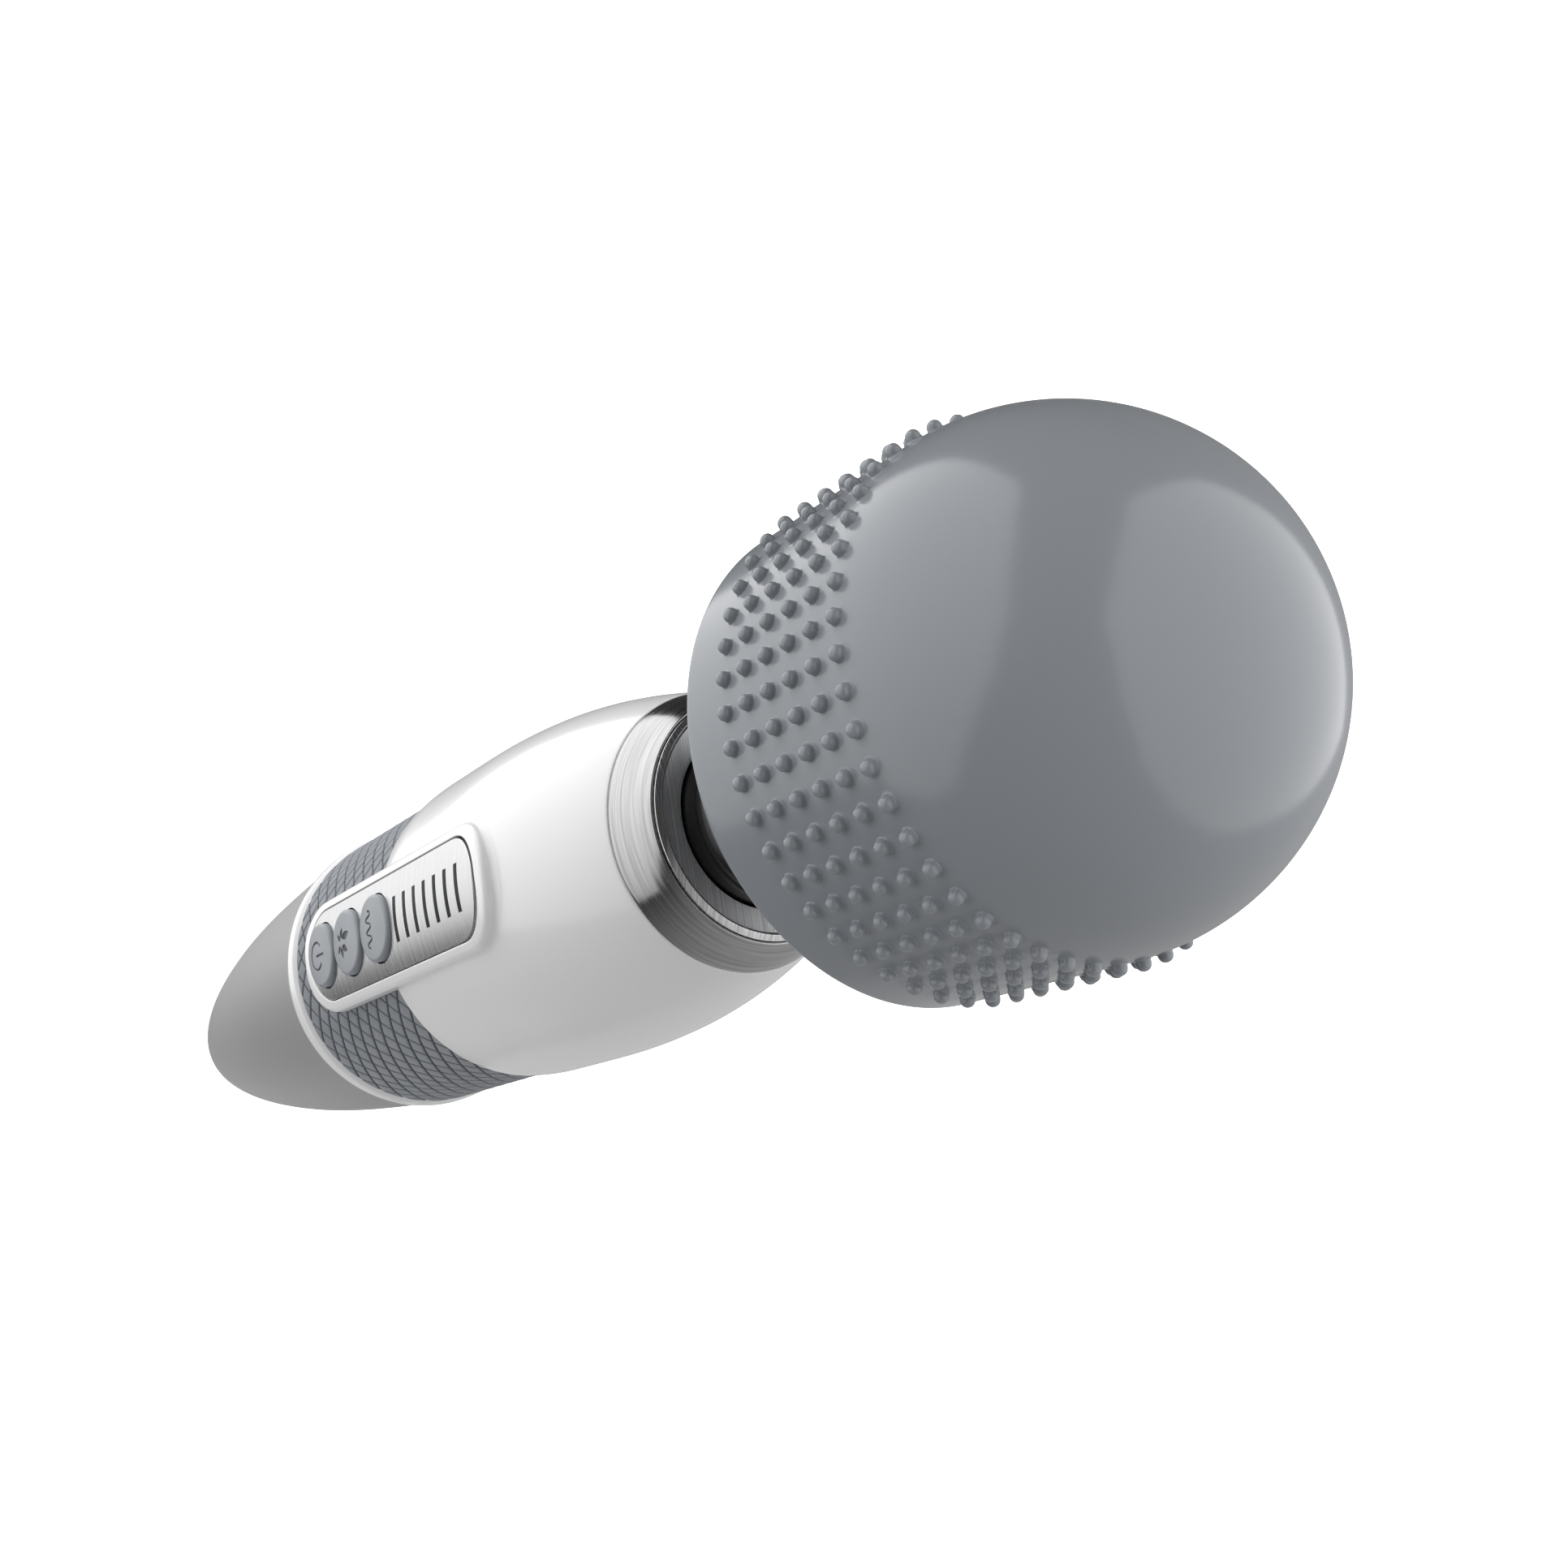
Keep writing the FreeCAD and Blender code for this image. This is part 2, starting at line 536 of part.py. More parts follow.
for name, c, lie in (("pitch", "pivot_pitch", FreeCAD.Rotation(V(1, 0, 0), -90)), ("yaw", "pivot_yaw", FreeCAD.Rotation())):
    # stub pins on the two bending axes, with the wire bore clear between them
    hole = doc.addObject("Part::Cylinder", name + "_pin_bore")
    hole.setExpression("Radius", sub("pin_radius + 0.05"))
    hole.Height = 40
    hole.Placement = FreeCAD.Placement(V(g(c) + TAIL, 0, AXIS) - lie.multVec(V(0, 0, 20)), lie)
    cross.append(hole)
    for side in (1, -1):
        pin = doc.addObject("Part::Cylinder", "%s_pin_%s" % (name, "a" if side > 0 else "b"))
        pin.setExpression("Radius", "dims.pin_radius")
        pin.setExpression("Height", "dims.pin_length")
        start = 3.0 if side > 0 else -3.0 - g("pin_length")
        pin.Placement = FreeCAD.Placement(V(g(c) + TAIL, 0, AXIS) + lie.multVec(V(0, 0, start)), lie)
        pins.append(pin)
keep(cut("neck_link", link, [rod("knuckle_bore", "wire_bore", "60", "pivot_pitch - 30")] + cross), "neck_link")
keep(group("neck_pins", pins), "neck_pins")

# ------------------------------------------------------------------ collar
keep(turned("steel_collar",
            [("collar_back", "collar_bore"), ("collar_back", "collar_back_radius"),
             ("collar_front - 0.5", "collar_front_radius + 0.2"), ("collar_front", "collar_front_radius - 0.1"),
             ("collar_front", "collar_bore")]))
keep(turned("collar_gasket",
            [("collar_back + 0.1", "chamfer_outer + 0.02"), ("collar_back + 0.1", "collar_bore - 0.02"),
             ("collar_front - 1.2", "collar_bore - 0.02"), ("collar_front - 1.2", "chamfer_outer + 0.02")]))
keep(turned("chamfer_ring",
            [("collar_back + 0.1", "14.5"), ("collar_back + 0.1", "chamfer_outer"),
             ("face_front", "chamfer_outer"), ("face_front", "chamfer_inner"),
             ("face_front - 1.15", "dish_radius"), ("face_front - 1.85", "dish_radius"),
             ("face_front - 1.85", "14.5")]))
keep(turned("neck_face_plate",
            [("face_front - 1.83", "face_bore"), ("face_front - 1.83", "dish_radius - 0.03"),
             ("face_front - 1.15", "dish_radius - 0.03"), ("face_front - 1.15", "face_bore")]))
keep(turned("neck_housing",
            [("191.25", "12.05"), ("191.25", "15.9"), ("196.2", "15.9"), ("196.2", "14.9"), ("collar_back", "14.9"),
             ("collar_back", "14.45"), ("face_front - 1.9", "14.45"), ("face_front - 1.9", "12.35"),
             ("196.0", "12.35"), ("196.0", "15.3"), ("193.9", "15.3"), ("193.9", "12.05")]))

# ------------------------------------------------------------------ handle shells
cb = g("collar_back") - 0.05
gf, gr = g("grip_front"), g("grip_rear")
outer_b = body_form(0.0)
seat = cylx(g("grip_seat"), gr, gf + 0.5)
spigot = cylx(g("spigot_radius"), g("spigot_end"), gr + 0.5)
hollow_f = body_solid(g("body_wall"), cb - 2.0, gf - 2)
hollow_r = cylx(BR - g("body_wall"), gr, gf)
hollow_s = cylx(g("spigot_bore"), g("spigot_end") - 1, gr + 1)
groove = cylx(g("spigot_radius") + 1, 91.55, 93.15).cut(cylx(21.95, 91, 94))
barrel = outer_b.fuse([seat, spigot])
barrel = barrel.cut([hollow_f, hollow_r, hollow_s, groove, cylx(14.95, 190, 200)])
window = rounded_prism(g("bezel_rear") + 1.4, g("bezel_front") - 1.4, g("bezel_half") - 1.3, 6.2, 7.4, 15.0, 40.0)
barrel = barrel.cut(window)
keep(plain("front_barrel", barrel))

grip = cylx(BR, gr + 0.02, gf - 0.03).cut(cylx(g("grip_seat") + 0.05, gr - 1, gf + 1))
grip = grip.cut(window)
keep(plain("grip_sleeve", grip))

keep(turned("trim_ring",
            [("ring_rear", "spigot_radius + 0.05"), ("ring_rear", "ring_radius - 0.5"),
             ("ring_rear + 0.6", "ring_radius"), ("grip_rear - 1.2", "ring_radius"),
             ("grip_rear - 0.1", "ring_radius - 0.9"), ("grip_rear - 0.1", "spigot_radius + 0.05")]))
keep(plain("tail_cap", tail_shell()))
keep(turned("tail_seal",
            [("91.6", "21.97"), ("91.6", "spigot_radius + 0.03"), ("93.1", "spigot_radius + 0.03"), ("93.1", "21.97")]))

# ------------------------------------------------------------------ control panel
PT, PU = g("panel_top"), g("plate_under")
bz0, bz1, bh = g("bezel_rear"), g("bezel_front"), g("bezel_half")
bez_plan = rounded_prism(bz0, bz1, bh, 7.4, 8.8, 14.0, 40.0)
skirt_plan = rounded_prism(bz0 + 1.5, bz1 - 1.5, bh - 1.4, 6.1, 7.3, 14.0, 40.0)
over = [body_form(0.03), cylx(BR + 0.03, gf - 60, gf + 1)]
top = cylx(PT, bz0 - 5, bz1 + 5).common(bez_plan).cut(over)
skirt = cylx(PT - 0.45, bz0 - 5, bz1 + 5).cut(cylx(22.45, bz0 - 6, bz1 + 6)).common(skirt_plan)
plate_pocket = rounded_prism(g("plate_rear"), g("plate_front"), g("plate_half"), 6.0, 7.0, 20.0, 40.0)
pocket = cylx(PT + 2, bz0 - 5, bz1 + 5).cut(cylx(PU - 0.02, bz0 - 6, bz1 + 6)).common(plate_pocket)
through = rounded_prism(g("plate_rear") + 0.1, g("plate_front") - 0.9, g("plate_half") - 0.9, 5.1, 6.1, 10.0, 40.0)
bezel = top.fuse(skirt).cut([pocket, through])
edge_pick = []
for e in bezel.Edges:
    bb = e.BoundBox
    com = e.CenterOfMass
    rr_ = math.hypot(com.y, com.z)
    mids = e.valueAt((e.FirstParameter + e.LastParameter) / 2)
    rm = math.hypot(mids.y, mids.z)
    outside = not plate_pocket.isInside(V(mids.x, mids.y, 30), 0.2, True)
    if abs(rm - PT) < 0.02 and outside:
        edge_pick.append(e)
for rad in (0.7, 0.55, 0.4):
    try:
        soft = bezel.makeFillet(rad, edge_pick)
    except Exception:
        continue
    if soft.isValid() and soft.Volume > 0.8 * bezel.Volume:
        bezel = soft
        print("bezel rounding", rad)
        break
keep(plain("panel_bezel", bezel))

plate = cylx(PT - 0.06, bz0, bz1).cut(cylx(PU, bz0 - 1, bz1 + 1)).common(
    rounded_prism(g("plate_rear") + 0.08, g("plate_front") - 0.08, g("plate_half") - 0.08, 5.92, 6.92, 20.0, 40.0))
holes = []


def oval(cx, ax, ay, z0, z1):
    if ay > ax:
        e = Part.Ellipse(V(cx, ay, 0), V(cx + ax, 0, 0), V(cx, 0, 0))
    else:
        e = Part.Ellipse(V(cx, 0, 0), ax, ay)
    f = Part.Face(Part.Wire(e.toShape()))
    f.translate(V(0, 0, z0))
    return f.extrude(V(0, 0, z1 - z0))


bl, bw = g("button_half_long"), g("button_half_wide")
centres = [g("button_rear") + k * g("button_pitch") for k in range(3)]
for c in centres:
    holes.append(oval(c, bl + 0.15, bw + 0.2, 15, 40))
slots = [g("slot_first") + k * g("slot_pitch") for k in range(7)]
sw, sh2 = g("slot_wide"), g("slot_half")
for x in slots:
    holes.append(Part.makeBox(sw + 0.1, 2 * sh2 + 0.1, 20, V(x - sw / 2 - 0.05, -sh2 - 0.05, 20)))
plate = plate.cut(holes)
keep(plain("panel_plate", plate))

for name, c in zip(("power_button", "mode_button", "wave_button"), centres):
    b = oval(c, bl, bw, g("button_flange_top") - 0.1, g("button_top") + 2)
    b = b.common(Part.makeCylinder(60.0, 60, V(c - 30, 0, g("button_top") - 60.0), V(1, 0, 0)))
    fl = oval(c, bl + 0.14, bw + 0.75, g("button_foot"), g("button_flange_top"))
    b = b.fuse(fl).removeSplitter()
    rim = []
    for e in b.Edges:
        m = e.valueAt((e.FirstParameter + e.LastParameter) / 2)
        if m.z > g("button_top") - 0.9:
            rim.append(e)
    try:
        soft = b.makeFillet(0.45, rim)
        if soft.isValid():
            b = soft
    except Exception:
        pass
    keep(plain(name, b))

guide = Part.makeBox(slots[-1] - slots[0] + 3.0, 2 * sh2 + 1.6, 0.9, V(slots[0] - 1.5, -sh2 - 0.8, 21.2))
fins = [Part.makeBox(sw, 2 * sh2, 10, V(x - sw / 2, -sh2, 21.6)).common(cylx(PT - 0.1, 100, 200)) for x in slots]
keep(plain("light_guide", guide.fuse(fins).removeSplitter()))

mat_plate = block("mat_sheet", "112.9", "143.4", -5.0, 5.0, "21.65", "22.2")
mat_parts = [mat_plate]
for k in range(3):
    mat_parts.append(post("mat_dome_%d" % k, "2.2", "0.15", "button_rear + %.1f" % (11.0 * k), 0.0, "22.1"))
keep(fuse("button_mat", mat_parts), "button_mat")

# ------------------------------------------------------------------ electronics
pcb = block("pcb_blank", "109.25", "172.25", -8.4, 8.4, "board_under", "board_under + board_thick")
corners = [("111.75", 5.8), ("111.75", -5.8), ("169.75", 5.8), ("169.75", -5.8)]
keep(cut("control_board", pcb, [post("pcb_hole_%d" % k, "1.1", "4", x, y, "board_under - 1")
                                for k, (x, y) in enumerate(corners)]), "control_board")
sws = []
for k in range(3):
    s0 = block("switch_case_%d" % k, "button_rear + %.1f - 2.25" % (11.0 * k), "button_rear + %.1f + 2.25" % (11.0 * k),
               -2.25, 2.25, "board_under + board_thick + 0.01", "board_under + board_thick + 1.5")
    s1 = post("switch_stem_%d" % k, "1.1", "0.5", "button_rear + %.1f" % (11.0 * k), 0.0, "board_under + board_thick + 1.4")
    sws.append(fuse("switch_%d" % k, [s0, s1]))
keep(group("tact_switches", sws), "tact_switches")
leds = [block("led_%d" % k, "slot_first + %.2f - 0.4" % (3.56 * k), "slot_first + %.2f + 0.4" % (3.56 * k), -0.8, 0.8,
              "board_under + board_thick + 0.01", "board_under + board_thick + 0.8") for k in range(7)]
keep(group("indicator_leds", leds), "indicator_leds")
bs = []
for k, (x, y) in enumerate(corners):
    hd = post("board_screw_cap_%d" % k, "1.6", "0.9", x, y, "board_under + board_thick + 0.01")
    sk_ = post("board_screw_shank_%d" % k, "0.95", "5.5", x, y, "board_under + board_thick - 5.4")
    bs.append(fuse("board_screw_%d" % k, [hd, sk_]))
keep(group("board_screws", bs), "board_screws")

deck = block("chassis_deck", "100.25", "187.25", -14.0, 14.0, "13.0", "14.6")
bulk = rod("chassis_bulkhead", "19.6", "2.2", "185.05")
posts = [post("chassis_post_%d" % k, "2.3", "3.45", x, y, "14.5") for k, (x, y) in enumerate(corners)]
legs = [block("chassis_leg_%d" % k, "176.25", "186.25", y - 1, y + 1, "-8", "13.5") for k, y in enumerate((-9.0, 9.0))]
frame_body = fuse("chassis_solid", [deck, bulk] + posts + legs)
keep(cut("chassis_frame", frame_body, [rod("chassis_wire_hole", "5.0", "10", "182.25")] +
         [post("chassis_pilot_%d" % k, "0.97", "6.5", x, y, "12.0") for k, (x, y) in enumerate(corners)]), "chassis_frame")

cells = []
for k, s in enumerate((1, -1)):
    can = rod("cell_can_%d" % k, "cell_radius", "cell_length", "cell_rear", s * g("cell_side"), -g("cell_drop"))
    tip = rod("cell_tip_%d" % k, "2.6", "1.0", "cell_rear + cell_length", s * g("cell_side"), -g("cell_drop"))
    cells.append(fuse("cell_%d" % k, [can, tip]))
keep(group("battery_cells", cells), "battery_cells")
ribs = [block("cradle_rib_%d" % k, "%s" % x, "%s + 4" % x, -20.5, 20.5, "-21", "-6.5") for k, x in
        enumerate(("90.25", "118.25", "147.25"))]
ribs.append(block("cradle_spine", "90.25", "151.25", -9.0, 9.0, "-20.6", "-13.5"))
crd = common("cradle_round", [fuse("cradle_blank", ribs), rod("cradle_limit", "21.2", "80", "85.25")])
keep(cut("battery_cradle", crd, [rod("cradle_seat_%d" % k, "cell_radius + 0.06", "90", "80.25", s * g("cell_side"),
                                     -g("cell_drop")) for k, s in enumerate((1, -1))]), "battery_cradle")
keep(group("battery_tabs", [block("tab_rear", "cell_rear - 0.4", "cell_rear - 0.05", -14.0, 14.0, "-8", "-2"),
                            block("tab_front", "cell_rear + cell_length + 1.05", "cell_rear + cell_length + 1.4",
                                  -14.0, 14.0, "-8", "-2")]), "battery_tabs")

# ------------------------------------------------------------------ charging port in the tail
keep(turned("charging_jack",
            [("0.05", "jack_bore"), ("0.05", "jack_radius"), ("5.6", "jack_radius"), ("5.6", "5.0"), ("7.2", "5.0"),
             ("7.2", "jack_radius"), ("jack_end", "jack_radius"), ("jack_end", "0"), ("jack_depth + 0.05", "0"),
             ("jack_depth + 0.05", "jack_bore")]))
keep(turned("port_gasket",
            [("4.5", "jack_radius + 0.03"), ("4.5", "4.6"), ("5.55", "4.6"), ("5.55", "jack_radius + 0.03")]))
keep(turned("charge_board",
            [("jack_end + 0.05", "0"), ("jack_end + 0.05", "9.0"), ("jack_end + 1.65", "9.0"), ("jack_end + 1.65", "0")]))
leads = [rod("charge_lead_%d" % k, "0.8", "70.4", "jack_end + 1.7", y, -5.0) for k, y in enumerate((-3.0, 3.0))]
keep(group("charge_leads", leads), "charge_leads")

# ------------------------------------------------------------------ check and write
doc.recompute()
bad = []
for o in doc.Objects:
    st = [str(x) for x in o.State]
    if "Invalid" in st or "Error" in st:
        bad.append("%s: %s" % (o.Label, st))
for o in nodes:
    s = o.Shape
    if s.isNull() or not s.isValid() or not s.Solids or s.Volume <= 0:
        bad.append("%s: shape null, invalid or empty" % o.Label)
if bad:
    raise SystemExit("failed objects:\n" + "\n".join(bad))
for f in os.listdir("parts"):
    if f.endswith(".step"):
        os.remove(os.path.join("parts", f))
for o in nodes:
    o.Shape.exportStep("parts/%s.step" % o.Label)
print("%d nodes written" % len(nodes))
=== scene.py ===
import bpy
import bmesh
import math
import numpy as np
from mathutils import Vector, Matrix


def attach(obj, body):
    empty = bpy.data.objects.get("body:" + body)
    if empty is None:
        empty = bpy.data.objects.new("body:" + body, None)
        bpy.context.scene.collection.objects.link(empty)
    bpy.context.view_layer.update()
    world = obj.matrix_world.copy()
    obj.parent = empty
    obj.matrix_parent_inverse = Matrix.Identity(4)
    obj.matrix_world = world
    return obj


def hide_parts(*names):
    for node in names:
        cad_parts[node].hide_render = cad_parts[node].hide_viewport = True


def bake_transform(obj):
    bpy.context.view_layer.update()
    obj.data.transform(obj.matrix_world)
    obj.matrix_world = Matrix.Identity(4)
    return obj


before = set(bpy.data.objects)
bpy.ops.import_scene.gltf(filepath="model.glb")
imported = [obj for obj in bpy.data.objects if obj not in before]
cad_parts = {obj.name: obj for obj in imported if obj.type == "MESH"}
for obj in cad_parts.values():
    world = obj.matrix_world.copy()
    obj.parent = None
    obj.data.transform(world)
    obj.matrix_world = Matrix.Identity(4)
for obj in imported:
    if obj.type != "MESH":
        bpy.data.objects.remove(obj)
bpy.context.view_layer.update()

# ------------------------------------------------------------------ shared sizes, mm
# stations are millimetres from the tail end; the wand axis is AX above the row frame's floor
TAIL, AX, MM = -145.25, 31.69, 0.001
HR, DC, DL = 30.47, 260.40, 30.10
SHOULDER = [(218.24, 13.0), (218.33, 14.3), (218.71, 16.7), (219.35, 18.6), (220.2, 19.9), (221.3, 20.96),
            (222.6, 21.98), (225.0, 23.77), (228.0, 26.0), (231.0, 28.24), (233.76, 30.29)]
RIM = [(233.88, 30.37), (234.00, 30.425), (234.13, 30.458), (234.28, HR)]
BODYC = [(137.35, 25.27), (140.0, 25.52), (144.0, 25.64), (150.0, 25.70), (156.0, 25.74), (160.0, 25.73),
         (164.0, 25.64), (168.0, 25.45), (172.0, 25.16), (176.0, 24.77), (180.0, 24.24), (184.0, 23.58),
         (188.0, 22.78), (192.0, 21.84), (196.0, 20.74), (198.50, 19.95)]
TAILC = [(0.0, 4.0), (0.14, 4.62), (0.5, 5.35), (1.7, 7.1), (4.6, 9.35), (9.3, 11.45), (17.0, 13.9), (24.8, 15.9),
         (40.3, 18.98), (55.8, 21.3), (71.3, 22.93), (86.8, 24.1), (95.95, 24.65)]
BR = 24.8


# ------------------------------------------------------------------ mesh helpers
def mesh_from(name, v, quads=(), tris=()):
    """mesh from millimetre vertices given about the wand axis"""
    v = np.asarray(v, float).reshape(-1, 3)
    quads = np.asarray(quads, np.int64).reshape(-1, 4)
    tris = np.asarray(tris, np.int64).reshape(-1, 3)
    me = bpy.data.meshes.new(name)
    loops = np.concatenate([quads.ravel(), tris.ravel()]).astype(np.int32)
    starts = np.concatenate([np.arange(len(quads)) * 4, len(quads) * 4 + np.arange(len(tris)) * 3]).astype(np.int32)
    me.vertices.add(len(v))
    me.vertices.foreach_set("co", (v * MM).ravel())
    me.loops.add(len(loops))
    me.loops.foreach_set("vertex_index", loops)
    me.polygons.add(len(starts))
    me.polygons.foreach_set("loop_start", starts)
    me.update(calc_edges=True)
    me.polygons.foreach_set("use_smooth", np.ones(len(starts), bool))
    return me


def weld(me, dist=2e-7):
    bm = bmesh.new()
    bm.from_mesh(me)
    bmesh.ops.remove_doubles(bm, verts=bm.verts, dist=dist)
    bmesh.ops.dissolve_degenerate(bm, dist=1e-8, edges=bm.edges)
    bm.to_mesh(me)
    bm.free()
    return me


def piece(name, me, body, mat, reps=(), sharp=40.0, on_axis=True):
    """one shown piece: a mesh about the wand axis, on its body, for these CAD nodes"""
    if sharp:
        me.set_sharp_from_angle(angle=math.radians(sharp))
    ob = bpy.data.objects.new(name, me)
    bpy.context.scene.collection.objects.link(ob)
    if on_axis:
        ob.location = (0, 0, AX * MM)
    me.materials.append(mat)
    if body:
        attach(ob, body)
    if reps:
        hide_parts(*reps)
    return ob


def grid(profile, angles, wrap=True):
    """vertices and quads of a profile (station, radius) turned through the angles; outer side runs +X"""
    p = np.asarray(profile, float)
    a = np.asarray(angles, float)
    v = np.stack([np.repeat((p[:, 0] + TAIL)[:, None], len(a), 1), p[:, 1][:, None] * np.cos(a),
                  p[:, 1][:, None] * np.sin(a)], -1)
    n, m = len(p), len(a)
    i, j = np.meshgrid(np.arange(n - 1), np.arange(m if wrap else m - 1), indexing="ij")
    j2 = (j + 1) % m
    q = np.stack([i * m + j, i * m + j2, (i + 1) * m + j2, (i + 1) * m + j], -1).reshape(-1, 4)
    return v.reshape(-1, 3), q


def lathe(name, profile, seg=256, closed=True):
    prof = list(profile)
    if closed:
        prof = prof + [prof[0]]
    a = math.pi / 2 + np.arange(seg) * 2 * math.pi / seg
    v, q = grid(prof, a)
    return weld(mesh_from(name, v, q))


def rounded(pts, n=5):
    """closed polygon (x, r, fillet radius) with its corners rounded"""
    out = []
    m = len(pts)
    for k in range(m):
        p = np.array(pts[k][:2], float)
        r = pts[k][2] if len(pts[k]) > 2 else 0.0
        if r <= 0:
            out.append(tuple(p))
            continue
        a = np.array(pts[k - 1][:2], float) - p
        b = np.array(pts[(k + 1) % m][:2], float) - p
        la, lb = np.linalg.norm(a), np.linalg.norm(b)
        a, b = a / la, b / lb
        ang = math.acos(max(-1, min(1, float(a @ b))))
        t = min(r / math.tan(ang / 2), 0.49 * la, 0.49 * lb)
        rr = t * math.tan(ang / 2)
        c = p + (a + b) / np.linalg.norm(a + b) * (rr / math.sin(ang / 2))
        s, e = p + a * t - c, p + b * t - c
        s0, e0 = math.atan2(s[1], s[0]), math.atan2(e[1], e[0])
        d = (e0 - s0 + math.pi) % (2 * math.pi) - math.pi
        for i in range(n + 1):
            u = s0 + d * i / n
            out.append((c[0] + rr * math.cos(u), c[1] + rr * math.sin(u)))
    return out


def refine(pts, step):
    """points added so that no straight run is longer than step"""
    out = []
    m = len(pts)
    for k in range(m):
        a, b = np.array(pts[k], float), np.array(pts[(k + 1) % m], float)
        n = max(1, int(math.ceil(np.linalg.norm(b - a) / step)))
        for i in range(n):
            out.append(tuple(a + (b - a) * i / n))
    return out


def spline(pts, n, start=None, end=None):
    """cubic through the points by chord length, with given or natural end slopes"""
    p = np.asarray(pts, float)
    t = np.concatenate([[0], np.cumsum(np.linalg.norm(np.diff(p, axis=0), axis=1))])
    m = len(p)
    h = np.diff(t)
    A = np.zeros((m, m))
    B = np.zeros((m, 2))
    for k in range(1, m - 1):
        A[k, k - 1], A[k, k], A[k, k + 1] = h[k - 1], 2 * (h[k - 1] + h[k]), h[k]
        B[k] = 6 * ((p[k + 1] - p[k]) / h[k] - (p[k] - p[k - 1]) / h[k - 1])
    if start is None:
        A[0, 0] = 1
    else:
        A[0, 0], A[0, 1] = 2 * h[0], h[0]
        B[0] = 6 * ((p[1] - p[0]) / h[0] - np.array(start, float))
    if end is None:
        A[-1, -1] = 1
    else:
        A[-1, -2], A[-1, -1] = h[-1], 2 * h[-1]
        B[-1] = 6 * (np.array(end, float) - (p[-1] - p[-2]) / h[-1])
    M = np.linalg.solve(A, B)
    u = np.linspace(0, t[-1], n)
    k = np.clip(np.searchsorted(t, u, side="right") - 1, 0, m - 2)
    x0, x1, hh = u - t[k], t[k + 1] - u, h[k]
    f = lambda w: w[:, None]
    return (M[k] * f(x1 ** 3 / (6 * hh)) + M[k + 1] * f(x0 ** 3 / (6 * hh)) +
            (p[k] / f(hh) - M[k] * f(hh / 6)) * f(x1) + (p[k + 1] / f(hh) - M[k + 1] * f(hh / 6)) * f(x0))


def offset(p, d):
    """profile moved d towards the axis along its normal"""
    p = np.asarray(p, float)
    t = np.gradient(p, axis=0)
    t /= np.linalg.norm(t, axis=1)[:, None]
    return np.stack([p[:, 0] + d * t[:, 1], p[:, 1] - d * t[:, 0]], 1)


